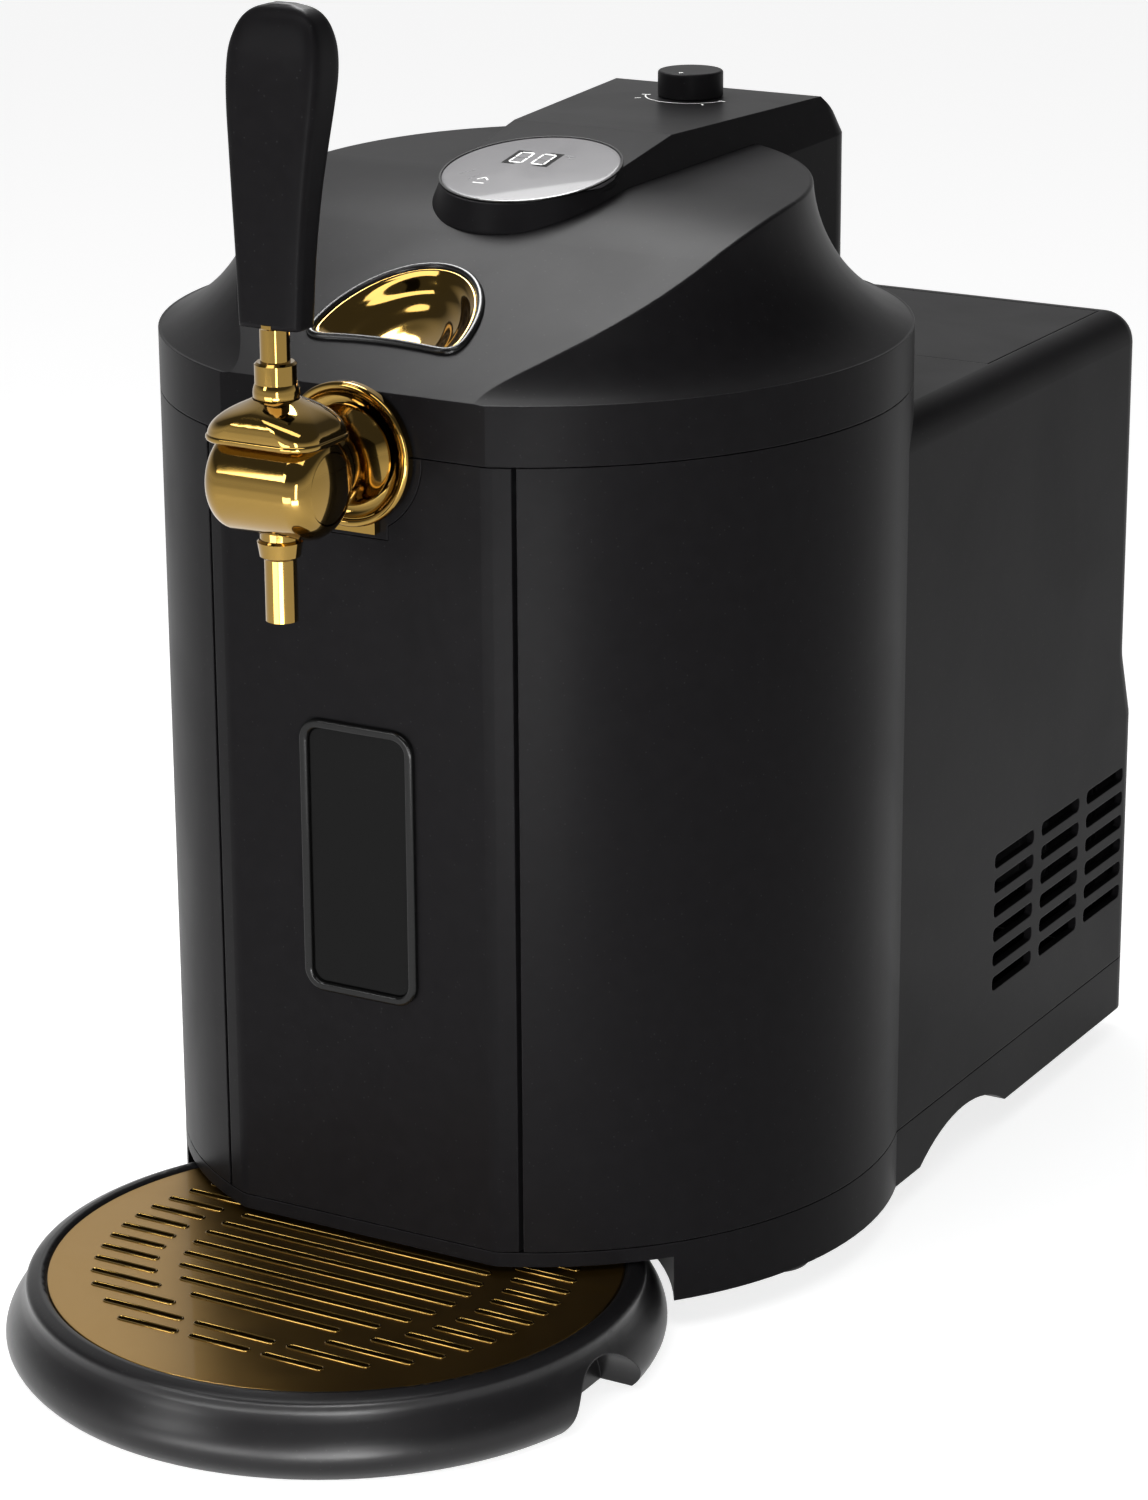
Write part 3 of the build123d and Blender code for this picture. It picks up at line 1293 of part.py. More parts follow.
with BuildPart() as tap_flange:
    with BuildSketch(along_valve):
        with BuildLine():
            hub = neck_r + 4.6 + fit
            Polyline((flange_back, shank_r + fit), (flange_back, flange_r - 0.8), (flange_back - 0.8, flange_r))
            Line((flange_back - 0.8, flange_r), (flange_front + 1.2, flange_r))
            ThreePointArc(
                (flange_front + 1.2, flange_r), (flange_front, flange_r - 1.4),
                (flange_front + 1.4, flange_r - 2.8),
            )
            ThreePointArc(
                (flange_front + 1.4, flange_r - 2.8), (flange_front + 2.9, (flange_r + hub) / 2 - 1.2),
                (flange_front + 3.1, hub),
            )
            Polyline(
                (flange_front + 3.1, hub), (shank_front + 2.0, hub), (shank_front + 2.0, shank_r + fit),
                (flange_back, shank_r + fit),
            )
        make_face()
    revolve(axis=valve_axis)
    # key tab that locks the tap against turning
    with BuildSketch(Plane.XZ.offset(-flange_back)):
        with Locations((0, (key_bottom + shank_z) / 2)):
            Rectangle(2 * key_half, shank_z - key_bottom)
        with Locations((0, shank_z)):
            Circle(flange_r - 3, mode=Mode.SUBTRACT)
    extrude(amount=3.2)
save(tap_flange, "tap_flange")

with BuildPart() as tap_carrier:
    with BuildSketch(Plane.XZ.offset(facet_y)):
        add(key_notch(-carrier_room))
        with Locations((0, shank_z)):
            Circle(shank_r + fit, mode=Mode.SUBTRACT)
        with Locations((0, body_top + carrier_r)):
            Rectangle(4 * carrier_r, 2 * carrier_r, mode=Mode.SUBTRACT)
    extrude(amount=-(facet_y + carrier_rear))
save(tap_carrier, "tap_carrier")

with BuildPart() as tap_shank:
    with BuildSketch(Plane.XZ.offset(-shank_front)):
        with Locations((0, shank_z)):
            Circle(shank_r)
            Circle(shank_bore, mode=Mode.SUBTRACT)
    extrude(amount=-(shank_rear - shank_front))
save(tap_shank, "tap_shank")

with BuildPart() as shank_nut:
    with BuildSketch(Plane.XZ.offset(-carrier_rear)):
        with Locations((0, shank_z)):
            RegularPolygon(nut_flats / 2, 6, major_radius=False)
            Circle(shank_r + fit, mode=Mode.SUBTRACT)
    extrude(amount=-9)
save(shank_nut, "shank_nut")

coupler_z = (305.0, 318.0)
hub_r = 16.0
with BuildPart() as keg_coupler:
    with BuildSketch(Plane.XZ.offset(-shank_rear + 7.5)):
        with Locations((0, shank_z)):
            Circle(shank_r + 2.2)
            Circle(shank_r + fit, mode=Mode.SUBTRACT)
    extrude(amount=-7.5)
    with BuildSketch(Plane.XZ.offset(-shank_rear)):
        with Locations((0, sum(coupler_z) / 2)):
            Rectangle(18, coupler_z[1] - coupler_z[0])
    extrude(amount=shank_rear)
    with Locations((0, 0, keg_top + 3.5)):
        Cylinder(hub_r, 18, align=(Align.CENTER, Align.CENTER, Align.MIN))
        Cylinder(8, 2.5, align=(Align.CENTER, Align.CENTER, Align.MAX))
    fillet(keg_coupler.edges().filter_by(GeomType.CIRCLE).group_by(Axis.Z)[-1], 1.5)
    with BuildSketch(Plane.XZ.offset(-shank_rear + 1)):
        with Locations((0, shank_z)):
            Circle(shank_bore - 1.5)
    extrude(amount=shank_rear - 4, mode=Mode.SUBTRACT)
save(keg_coupler, "keg_coupler")

# ---------------------------------------------------------------- lever, handle and valve
with BuildPart() as tap_lever:
    with BuildSketch(across_tap):
        with BuildLine():
            low = sqrt(ball_r**2 - tail_r**2)
            high = sqrt(ball_r**2 - collar_r**2)
            Polyline((0, tail_end), (tail_r, tail_end), (tail_r, pivot_z - low))
            ThreePointArc((tail_r, pivot_z - low), (ball_r, pivot_z), (collar_r, pivot_z + high))
            Polyline(
                (collar_r, pivot_z + high), (collar_r, collar_top - 0.8), (collar_r - 0.8, collar_top), (stem_r, collar_top),
                (stem_r, handle_bottom - 1.6), (stem_r + 0.4, handle_bottom - 1.2), (stem_r + 0.4, handle_bottom),
                (stud_r, handle_bottom), (stud_r, handle_bottom + stud_l),
                (0, handle_bottom + stud_l), (0, tail_end),
            )
        make_face()
    revolve(axis=tap_axis)
save(tap_lever, "tap_lever")

# share of the paddle's height, width, depth, centre and corner radius of its sections
paddle = [
    (0.00, 23.0, 12.6, -163.6, 3.0),
    (0.20, 25.8, 13.8, -162.6, 3.6),
    (0.40, 29.2, 15.6, -161.0, 4.4),
    (0.60, 32.8, 17.4, -158.8, 5.4),
    (0.80, 34.8, 18.2, -156.4, 6.4),
]
paddle_cap = [
    (0.80, 34.8, 18.2, -156.4, 6.4),
    (0.88, 33.0, 17.0, -155.7, 6.4),
    (0.94, 28.0, 14.0, -155.2, 6.2),
    (0.98, 20.4, 10.0, -154.9, 4.7),
    (1.00, 9.0, 5.0, -154.8, 2.4),
]


def paddle_part(sections):
    """Loft through some of the paddle's sections."""
    with BuildPart() as piece:
        for share, width, depth, centre, corner in sections:
            height = handle_bottom + share * (handle_top - handle_bottom)
            with BuildSketch(Plane.XY.offset(height)):
                with Locations((0, centre)):
                    RectangleRounded(width, depth, corner)
        loft()
    return piece.part


with BuildPart() as tap_handle:
    add(paddle_part(paddle))
    add(paddle_part(paddle_cap))
    with Locations((0, tap_y, handle_bottom)):
        Cylinder(stud_r + 0.02, stud_l, align=(Align.CENTER, Align.CENTER, Align.MIN), mode=Mode.SUBTRACT)
save(tap_handle, "tap_handle")

with BuildPart() as valve_plunger:
    with BuildSketch(Plane.XZ.offset(-plunger_front)):
        with Locations((0, shank_z)):
            Circle(plunger_r)
    extrude(amount=-(plunger_rear - plunger_front))
    chamfer(valve_plunger.edges().filter_by(GeomType.CIRCLE), 0.8)
    with BuildSketch(Plane.YZ):
        with Locations((tap_y, tail_end - 1 + plunger_r)):
            Rectangle(groove_w, 2 * plunger_r)
    extrude(amount=plunger_r + 1, both=True, mode=Mode.SUBTRACT)
save(valve_plunger, "valve_plunger")

# ================================================================ drip tray
tray_lip_r = 102.5
ledge_z_tray = grid_top - grid_t
well_r = 94.0
slot_w = 2.7
slot_pitch = 9.0
band = (62.0, 84.0)      # the outer slots lie between these radii
inner_band = 54.0        # and the inner ones within this one

with BuildPart() as drip_tray:
    with BuildSketch(Plane((0, tray_y, 0), x_dir=(1, 0, 0), z_dir=(0, -1, 0))):
        with BuildLine():
            Polyline((0, tray_lift), (110.0, tray_lift))
            Spline(
                (110.0, tray_lift), (tray_r, 6.5), (111.6, 15.0), (106.6, 23.4), (tray_lip_r, tray_h),
                tangents=((1, 0.9), (-1, 0.35)),
            )
            ThreePointArc(
                (tray_lip_r, tray_h), (grid_r + 1.2, tray_h - 0.3), (grid_r + gap, grid_top - 0.4),
            )
            Polyline(
                (grid_r + gap, grid_top - 0.4), (grid_r + gap, ledge_z_tray), (well_r, ledge_z_tray),
                (well_r, tray_floor), (0, tray_floor), (0, tray_lift),
            )
        make_face()
    revolve(axis=Axis((0, tray_y, 0), (0, 0, 1)))
    # tongue that hooks into the base
    with BuildSketch(Plane.XY.offset(base_floor + gap)):
        with Locations((0, tray_y + tray_r - 4 + tongue_l / 2)):
            Rectangle(tongue_w, tongue_l)
    extrude(amount=tongue_t)
    # finger notches
    for side in (-1, 1):
        with BuildSketch(Plane.YZ.offset(side * (tray_r + 4))):
            with BuildLine():
                ThreePointArc(
                    (notch_y - notch_r, tray_lift - 0.1), (notch_y, notch_rise), (notch_y + notch_r, tray_lift - 0.1),
                )
                Line((notch_y + notch_r, tray_lift - 0.1), (notch_y - notch_r, tray_lift - 0.1))
            make_face()
        extrude(amount=-side * (tray_r + 4 - well_r - 3), mode=Mode.SUBTRACT)
save(drip_tray, "drip_tray")


def chord(radius, offset):
    """Half length of a circle's chord at a distance from its centre."""
    return sqrt(max(radius**2 - offset**2, 0))


with BuildPart() as drip_grid:
    with BuildSketch(Plane.XY.offset(grid_top - grid_t)):
        with Locations((0, tray_y)):
            Circle(grid_r)
    extrude(amount=grid_t)
    fillet(drip_grid.edges().group_by(Axis.Z)[-1], 0.5)
    with BuildSketch(Plane.XY.offset(grid_top - grid_t)):
        for row in range(-8, 5):
            dy = row * slot_pitch
            low, high = chord(band[0], dy), chord(band[1], dy)
            if low > 0:
                spans = [(-high, -low), (low, high)]
            else:
                third = 2 * high / 3
                spans = [(-high + k * third + 2.5, -high + (k + 1) * third - 2.5) for k in range(3)]
            inner = chord(inner_band, dy)
            if inner > 12:
                spans.append((-inner, inner))
            for start, end in spans:
                with Locations(((start + end) / 2, tray_y + dy)):
                    SlotOverall(end - start, slot_w)
    extrude(amount=grid_t, mode=Mode.SUBTRACT)
save(drip_grid, "drip_grid")
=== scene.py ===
import math

import bmesh
import bpy
from bpy.props import FloatProperty, FloatVectorProperty, IntProperty, PointerProperty
from bpy.types import Operator, Panel, PropertyGroup
from mathutils import Matrix, Vector


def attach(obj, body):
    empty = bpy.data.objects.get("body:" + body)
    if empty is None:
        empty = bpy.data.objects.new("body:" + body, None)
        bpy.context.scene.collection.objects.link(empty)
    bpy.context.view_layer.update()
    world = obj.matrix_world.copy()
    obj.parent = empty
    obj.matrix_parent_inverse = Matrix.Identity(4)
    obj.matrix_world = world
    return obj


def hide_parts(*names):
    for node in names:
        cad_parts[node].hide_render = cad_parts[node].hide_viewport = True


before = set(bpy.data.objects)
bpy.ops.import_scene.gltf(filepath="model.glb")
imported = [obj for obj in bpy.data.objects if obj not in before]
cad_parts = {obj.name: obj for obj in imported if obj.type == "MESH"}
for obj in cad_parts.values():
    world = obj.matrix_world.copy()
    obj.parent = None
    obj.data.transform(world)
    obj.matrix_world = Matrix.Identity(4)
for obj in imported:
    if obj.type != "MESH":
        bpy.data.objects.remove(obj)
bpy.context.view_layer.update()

bl_info = {
    "name": "Mini keg beer dispenser",
    "version": (1, 0, 0),
    "blender": (4, 5, 0),
    "location": "3D View > Sidebar > Dispenser",
    "description": "Dresses the dispenser's frame with its finishes, fine pieces and a plain studio",
    "category": "Add Mesh",
}

MM = 0.001

# places on the frame, in millimetres
DISPLAY_CENTRE = (0.0, -3.0, 384.0)
DISPLAY_TILT = 10.5
DISPLAY_R = 31.3
DISPLAY_T = 2.0
DISPLAY_RISE = 0.4
KNOB_Y = 113.0
KNOB_R = 12.0
KNOB_TOP = 401.6
CONSOLE_TOP = 392.0
TRAY_Y = -142.0
GRID_TOP = 26.6
FAN_REAR = 215.0
FAN_Z = 228.0
FAN_HOLES = 40.5
PULL_ORIGIN = (-2.5, -98.6, 341.7)
PULL_TILT = 23.71
PULL_HALF = 28.6
PULL_REACH = 43.69
PULL_BOW = 2.4
HANDLE_BOTTOM = 362.0
HANDLE_TOP = 462.0

# colours that several finishes share
DUST = (0.20, 0.20, 0.20, 1.0)
SOLDER = (0.55, 0.52, 0.42, 1.0)


# ---- objects and node wiring
def linked(name, data):
    """New object in the scene."""
    made = bpy.data.objects.new(name, data)
    bpy.context.scene.collection.objects.link(made)
    return made


def emptied(owner):
    """Wiring of a material's or world's own tree, with its first nodes taken out."""
    owner.use_nodes = True
    owner.node_tree.nodes.clear()
    return Wiring(owner.node_tree)


class Wiring:
    """Adds nodes to one tree and links them."""

    def __init__(self, tree):
        self.tree = tree

    def feed(self, inputs, values):
        """Sets or links a node's inputs."""
        for key, value in values.items():
            if isinstance(value, bpy.types.NodeSocket):
                self.tree.links.new(value, inputs[key])
            else:
                inputs[key].default_value = value

    def node(self, kind, sockets=None, **settings):
        made = self.tree.nodes.new(kind)
        for name, value in settings.items():
            setattr(made, name, value)
        self.feed(made.inputs, sockets or {})
        return made

    def math(self, operation, *values):
        return self.node("ShaderNodeMath", dict(enumerate(values)), operation=operation).outputs[0]

    def times(self, value, factor):
        return self.math("MULTIPLY", value, factor)

    def dot(self, first, second):
        made = self.node("ShaderNodeVectorMath", {0: first, 1: second}, operation="DOT_PRODUCT")
        return made.outputs["Value"]

    def ramp(self, value, low, high, to_low=0.0, to_high=1.0):
        sockets = {"Value": value, "From Min": low, "From Max": high, "To Min": to_low, "To Max": to_high}
        return self.node("ShaderNodeMapRange", sockets, clamp=True).outputs["Result"]

    def blend(self, share, first, second):
        return self.node("ShaderNodeMix", {0: share, 6: first, 7: second}, data_type="RGBA").outputs[2]

    def noise(self, place, scale, detail, **more):
        sockets = {"Vector": place, "Scale": scale, "Detail": detail, **more}
        return self.node("ShaderNodeTexNoise", sockets).outputs["Fac"]

    def cells(self, place, scale, feature="F1", **more):
        sockets = {"Vector": place, "Scale": scale, **more}
        return self.node("ShaderNodeTexVoronoi", sockets, feature=feature).outputs["Distance"]

    def bump(self, height, strength, distance, **normal):
        sockets = {"Height": height, "Strength": strength, "Distance": distance, **normal}
        return self.node("ShaderNodeBump", sockets).outputs[0]


def node_group(name, kind, inputs, outputs):
    """Empty node group: its wiring, its given sockets and its output node's inputs."""
    tree = bpy.data.node_groups.new(name, kind)
    for side, sockets in (("INPUT", inputs), ("OUTPUT", outputs)):
        for label, socket in sockets.items():
            tree.interface.new_socket(label, in_out=side, socket_type="NodeSocket" + socket)
    wires = Wiring(tree)
    return wires, wires.node("NodeGroupInput").outputs, wires.node("NodeGroupOutput").inputs


def shader_group(name, size_label, outputs):
    """Empty shader group with a place and a size."""
    inputs = {"Vector": "Vector", size_label: "Float"}
    wires, given, result = node_group(name, "ShaderNodeTree", inputs, outputs)
    return wires, given["Vector"], given[size_label], result


def build_grain_group(name):
    """Fine moulded texture: pebbled height, and a mottle for colour and gloss."""
    wires, place, size, result = shader_group(name, "Grain Size", {"Height": "Float", "Mottle": "Float"})
    scale = wires.math("DIVIDE", 1.0, size)
    pebbles = wires.cells(place, scale, "SMOOTH_F1", Smoothness=0.6)
    height = wires.math("ADD", wires.times(pebbles, 0.5), wires.noise(place, scale, 3.0))
    coarse = wires.noise(place, wires.times(scale, 0.08), 2.0)
    wires.feed(result, {"Height": height, "Mottle": wires.ramp(coarse, 0.3, 0.7)})
    return wires.tree


def build_handling_group(name):
    """Faint wipe marks and dust that handling leaves."""
    wires, place, size, result = shader_group(name, "Patch Size", {"Smudge": "Float", "Dust": "Float"})
    scale = wires.math("DIVIDE", 1.0, size)
    patches = wires.noise(place, scale, 4.0, Distortion=0.8)
    specks = wires.cells(place, wires.times(scale, 22.0))
    dust = wires.ramp(specks, 0.0, 0.12, 1.0, 0.0)
    wires.feed(result, {"Smudge": wires.ramp(patches, 0.42, 0.72), "Dust": dust})
    return wires.tree


def build_edge_group(name):
    """Rounded look of an edge, and a mask of where it has worn, which the plastic finishes also use to paint a
    highlight along the edge.
    """
    wires, place, size, result = shader_group(name, "Width", {"Edge": "Float", "Normal": "Vector"})
    rounded = wires.node("ShaderNodeBevel", {"Radius": size}, samples=4).outputs["Normal"]
    true_normal = wires.node("ShaderNodeNewGeometry").outputs["Normal"]
    bent = wires.ramp(wires.dot(rounded, true_normal), 0.995, 0.86)
    chips = wires.noise(place, 160.0, 3.0)
    worn_and_highlighted_mask = wires.times(bent, wires.ramp(chips, 0.35, 0.65, 0.35, 1.0))
    wires.feed(result, {"Edge": worn_and_highlighted_mask, "Normal": rounded})
    return wires.tree


def build_streak_group(name):
    """Drawn or brushed lines along one axis."""
    wires, place, size, result = shader_group(name, "Line Width", {"Height": "Float"})
    stretch = wires.node("ShaderNodeMapping", {"Vector": place, "Scale": (0.02, 1.0, 1.0)})
    lines = wires.noise(stretch.outputs[0], wires.math("DIVIDE", 1.0, size), 2.0)
    wires.feed(result, {"Height": lines})
    return wires.tree


GROUP_BUILDERS = {
    "Moulded Grain": build_grain_group,
    "Handling Marks": build_handling_group,
    "Worn Edges": build_edge_group,
    "Brushed Streaks": build_streak_group,
}


def shared_tree(name, build):
    """The node group of that name, built the first time that it is asked for."""
    return bpy.data.node_groups.get(name) or build(name)


def group_of(wires, name, place, size):
    """Places one of the shared shader groups and gives its outputs."""
    tree = shared_tree(name, GROUP_BUILDERS[name])
    return wires.node("ShaderNodeGroup", {0: place, 1: size}, node_tree=tree).outputs


# ---- finishes
def new_finish(name, **fixed):
    """Material with a Principled shader whose fixed values are set on its own sockets."""
    material = bpy.data.materials.new(name)
    wires = emptied(material)
    shader = wires.node("ShaderNodeBsdfPrincipled", fixed)
    wires.node("ShaderNodeOutputMaterial", {"Surface": shader.outputs[0]})
    place = wires.node("ShaderNodeTexCoord").outputs["Object"]
    return material, wires, shader.inputs, place


def rgba(colour, gain=1.0):
    return (*(min(1.0, c * gain) for c in colour), 1.0)


def plastic(
    name, colour, roughness, grain=0.0004, depth=0.00001, edge_width=0.0006, edge_wear_and_highlight_gain=2.2, specular=0.5
):
    """Injection-moulded plastic: pebbled skin, softened edges with wear and a painted highlight along them,
    faint handling marks.
    """
    material, wires, shader, place = new_finish(name, **{"Specular IOR Level": specular})
    skin = group_of(wires, "Moulded Grain", place, grain)
    marks = group_of(wires, "Handling Marks", place, 0.07)
    edges = group_of(wires, "Worn Edges", place, edge_width)
    body = wires.blend(skin["Mottle"], rgba(colour, 0.92), rgba(colour, 1.1))
    # painted highlight and wear: the colour along the worn-edge mask is lifted above the plastic's own colour
    # by the edge gain
    worn_and_highlighted_colour = wires.blend(wires.times(edges["Edge"], 0.5), body, rgba(colour, edge_wear_and_highlight_gain))
    gloss = wires.math("ADD", roughness, wires.times(marks["Smudge"], 0.05))
    wires.feed(shader, {
        "Base Color": wires.blend(wires.times(marks["Dust"], 0.10), worn_and_highlighted_colour, DUST),
        "Roughness": wires.math("SUBTRACT", gloss, wires.times(edges["Edge"], 0.08)),
        "Normal": wires.bump(skin["Height"], 0.6, depth, Normal=edges["Normal"]),
    })
    return material


def plated(name, colour, roughness, waviness=0.000015, smudge=0.05):
    """Mirror plating: slight waves of the buffed surface, hairlines and finger smudges."""
    fixed = {"Metallic": 1.0, "Coat Weight": 0.2, "Coat Roughness": 0.03}
    material, wires, shader, place = new_finish(name, **fixed)
    marks = group_of(wires, "Handling Marks", place, 0.03)
    hairlines = group_of(wires, "Brushed Streaks", place, 0.0003)
    dull = wires.math("ADD", roughness, wires.times(marks["Smudge"], smudge))
    wires.feed(shader, {
        "Base Color": wires.blend(wires.times(marks["Smudge"], 0.35), rgba(colour), rgba(colour, 0.86)),
        "Roughness": wires.math("ADD", dull, wires.times(hairlines["Height"], 0.02)),
        "Normal": wires.bump(wires.noise(place, 50.0, 1.0), 0.5, waviness),
    })
    return material


def machined(name, colour, roughness):
    """Drawn or milled metal with fine lines along it."""
    material, wires, shader, place = new_finish(name, Metallic=1.0)
    lines = group_of(wires, "Brushed Streaks", place, 0.0004)
    marks = group_of(wires, "Handling Marks", place, 0.04)
    edges = group_of(wires, "Worn Edges", place, 0.0004)
    body = wires.blend(lines["Height"], rgba(colour, 0.85), rgba(colour, 1.1))
    wires.feed(shader, {
        "Base Color": wires.blend(edges["Edge"], body, rgba(colour, 1.3)),
        "Roughness": wires.math("ADD", roughness, wires.times(marks["Smudge"], 0.12)),
        "Normal": wires.bump(lines["Height"], 0.5, 0.00002, Normal=edges["Normal"]),
    })
    return material


def gloss_black(name, colour, specular):
    """Polished black plastic with faint wipe marks and dust."""
    material, wires, shader, place = new_finish(name, **{"Specular IOR Level": specular})
    marks = group_of(wires, "Handling Marks", place, 0.05)
    edges = group_of(wires, "Worn Edges", place, 0.0004)
    wires.feed(shader, {
        "Base Color": wires.blend(wires.times(marks["Dust"], 0.06), rgba(colour), DUST),
        "Roughness": wires.math("ADD", 0.09, wires.times(marks["Smudge"], 0.07)),
        "Normal": edges["Normal"],
    })
    return material


def display_glass(name, colour):
    """Grey-backed touch glass under a clear gloss coat."""
    material, wires, shader, place = new_finish(name, **{"Coat Roughness": 0.03, "Specular IOR Level": 0.3})
    marks = group_of(wires, "Handling Marks", place, 0.025)
    skin = group_of(wires, "Moulded Grain", place, 0.0002)
    wires.feed(shader, {
        "Base Color": wires.blend(skin["Mottle"], rgba(colour, 0.95), rgba(colour, 1.06)),
        "Roughness": wires.math("ADD", 0.16, wires.times(marks["Smudge"], 0.08)),
        "Coat Weight": wires.ramp(marks["Smudge"], 0.0, 1.0, 0.62, 0.52),
        "Normal": wires.bump(skin["Height"], 0.3, 0.000003),
    })
    return material


def bead_foam(name, colour):
    """Insulating foam of fused beads."""
    material, wires, shader, place = new_finish(name)
    joints = wires.ramp(wires.cells(place, 320.0, "DISTANCE_TO_EDGE"), 0.0, 0.08)
    marks = group_of(wires, "Handling Marks", place, 0.05)
    tone = wires.blend(joints, rgba(colour, 0.72), rgba(colour))
    wires.feed(shader, {
        "Base Color": wires.blend(wires.times(marks["Smudge"], 0.3), tone, rgba(colour, 0.88)),
        "Roughness": wires.ramp(joints, 0.0, 1.0, 0.95, 0.8),
        "Normal": wires.bump(joints, 0.7, 0.0002),
    })
    return material


def circuit_board(name, colour):
    """Solder-masked board with traces under the mask."""
    material, wires, shader, place = new_finish(name)
    mask = {"Color1": rgba(colour), "Color2": rgba(colour, 1.25), "Mortar": rgba(colour, 2.1)}
    mask.update({"Vector": place, "Scale": 260.0, "Mortar Size": 0.035})
    traces = wires.node("ShaderNodeTexBrick", mask).outputs
    dots = wires.ramp(wires.cells(place, 240.0), 0.10, 0.14, 1.0, 0.0)
    wires.feed(shader, {
        "Base Color": wires.blend(dots, traces["Color"], SOLDER),
        "Roughness": wires.ramp(dots, 0.0, 1.0, 0.32, 0.2),
        "Normal": wires.bump(traces["Fac"], 0.4, 0.00003),
    })
    return material


def printed(name, colour, roughness=0.45):
    """Screen-printed ink with a slightly uneven lay."""
    material, wires, shader, place = new_finish(name)
    lay = wires.noise(place, 2500.0, 2.0)
    wires.feed(shader, {
        "Base Color": wires.blend(lay, rgba(colour, 0.85), rgba(colour, 1.08)),
        "Roughness": wires.ramp(lay, 0.0, 1.0, roughness - 0.05, roughness + 0.1),
    })
    return material


def lit_segment(name, colour, strength):
    """Diffused light of a numeral's bars."""
    material, wires, shader, place = new_finish(name, **{"Emission Strength": strength})
    glow = wires.noise(place, 900.0, 1.0)
    tone = wires.blend(glow, rgba(colour, 0.86), rgba(colour))
    rough = wires.ramp(glow, 0.0, 1.0, 0.3, 0.4)
    wires.feed(shader, {"Base Color": tone, "Emission Color": tone, "Roughness": rough})
    return material


def finish(name):
    """The named finish, built the first time that it is asked for."""
    label = "finish_" + name
    known = bpy.data.materials.get(label)
    if known:
        return known
    colours = bpy.context.scene.dispenser_colours
    makers = {
        "satin_black": lambda: plastic(label, colours.satin_black, 0.36, edge_wear_and_highlight_gain=4.5, specular=0.034),
        "tray_black": lambda: plastic(label, colours.satin_black, 0.32, edge_wear_and_highlight_gain=4.5, specular=0.3),
        "gloss_black": lambda: gloss_black(label, colours.gloss_black, 0.22),
        "window_black": lambda: gloss_black(label, colours.gloss_black, 0.06),
        "rim_black": lambda: plastic(
            label, colours.gloss_black, 0.22, grain=0.0003, depth=0.000004, specular=0.3
        ),
        "polished_gold": lambda: plated(label, colours.gold, 0.05),
        "satin_gold": lambda: plated(label, colours.grid_gold, 0.30, waviness=0.00004),
        "bright_steel": lambda: plated(label, (0.62, 0.61, 0.59), 0.20, smudge=0.12),
        "aluminium": lambda: machined(label, (0.66, 0.67, 0.68), 0.32),
        "display_grey": lambda: display_glass(label, colours.display_grey),
        "rubber_black": lambda: plastic(
            label, (0.018, 0.018, 0.018), 0.78, grain=0.0007, depth=0.00004, edge_width=0.0008, edge_wear_and_highlight_gain=1.8
        ),
        "dark_plastic": lambda: plastic(
            label, (0.014, 0.014, 0.015), 0.5, grain=0.0007, depth=0.00002, specular=0.25
        ),
        "liner_grey": lambda: plastic(label, (0.52, 0.53, 0.54), 0.42, grain=0.0006, edge_wear_and_highlight_gain=1.15),
        "ceramic_white": lambda: plastic(label, (0.78, 0.77, 0.74), 0.55, grain=0.0003, edge_wear_and_highlight_gain=1.05),
        "foam": lambda: bead_foam(label, (0.78, 0.76, 0.70)),
        "circuit_board": lambda: circuit_board(label, (0.012, 0.10, 0.035)),
        "print_white": lambda: printed(label, rgba(colours.print_white, 0.7)[:3]),
        "print_dark": lambda: printed(label, (0.03, 0.03, 0.033)),
        "lit_segment": lambda: lit_segment(label, colours.print_white, 0.12),
        "unlit_segment": lambda: printed(label, (0.02, 0.02, 0.022), 0.3),
    }
    return makers[name]()


# ---- mesh helpers
def plane_at(centre_mm, tilt=0.0, rise_mm=0.0):
    """Place of a plane in metres: local Z is its normal, leaning towards the tap by tilt degrees."""
    turn = Matrix.Rotation(math.radians(tilt), 4, "X")
    lift = Matrix.Translation(Vector((0.0, 0.0, rise_mm * MM)))
    return Matrix.Translation(Vector(centre_mm) * MM) @ turn @ lift


def add_piece(name, mesh, body, material, replaces=None):
    """Puts a finished mesh in the scene with its finish and ties it to the frame."""
    piece = linked(name, mesh)
    piece.data.materials.clear()
    piece.data.materials.append(finish(material))
    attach(piece, body)
    if replaces:
        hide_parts(replaces)


def mesh_from(name, points, faces, place=None, smooth=True, sharp_angle=None):
    """Mesh of points in millimetres, merged, closed and facing outwards, placed in metres."""
    work = bmesh.new()
    made = [work.verts.new(Vector(p) * MM) for p in points]
    for face in faces:
        corners = [made[i] for i in face]
        if len(set(corners)) > 2:
            work.faces.new(corners)
    bmesh.ops.remove_doubles(work, verts=work.verts, dist=1e-7)
    bmesh.ops.recalc_face_normals(work, faces=work.faces)
    if place is not None:
        work.transform(place)
    mesh = bpy.data.meshes.new(name)
    for face in work.faces:
        face.smooth = smooth
    if sharp_angle is not None:
        limit = math.radians(sharp_angle)
        for edge in work.edges:
            if len(edge.link_faces) == 2 and edge.calc_face_angle(0.0) > limit:
                edge.smooth = False
    work.to_mesh(mesh)
    work.free()
    return mesh


def add_shape(name, shape, body, material, slot=None, replaces=None, **shading):
    """Piece made of points and faces in millimetres."""
    add_piece(name, mesh_from(name, *shape, **shading), body, material, replaces)


def ring_faces(rings, count, closed=False):
    """Faces that join successive rings of points."""
    faces = []
    for k in range(rings if closed else rings - 1):
        here, there = k * count, (k + 1) % rings * count
        for i in range(count):
            j = (i + 1) % count
            faces.append((here + i, here + j, there + j, there + i))
    return faces


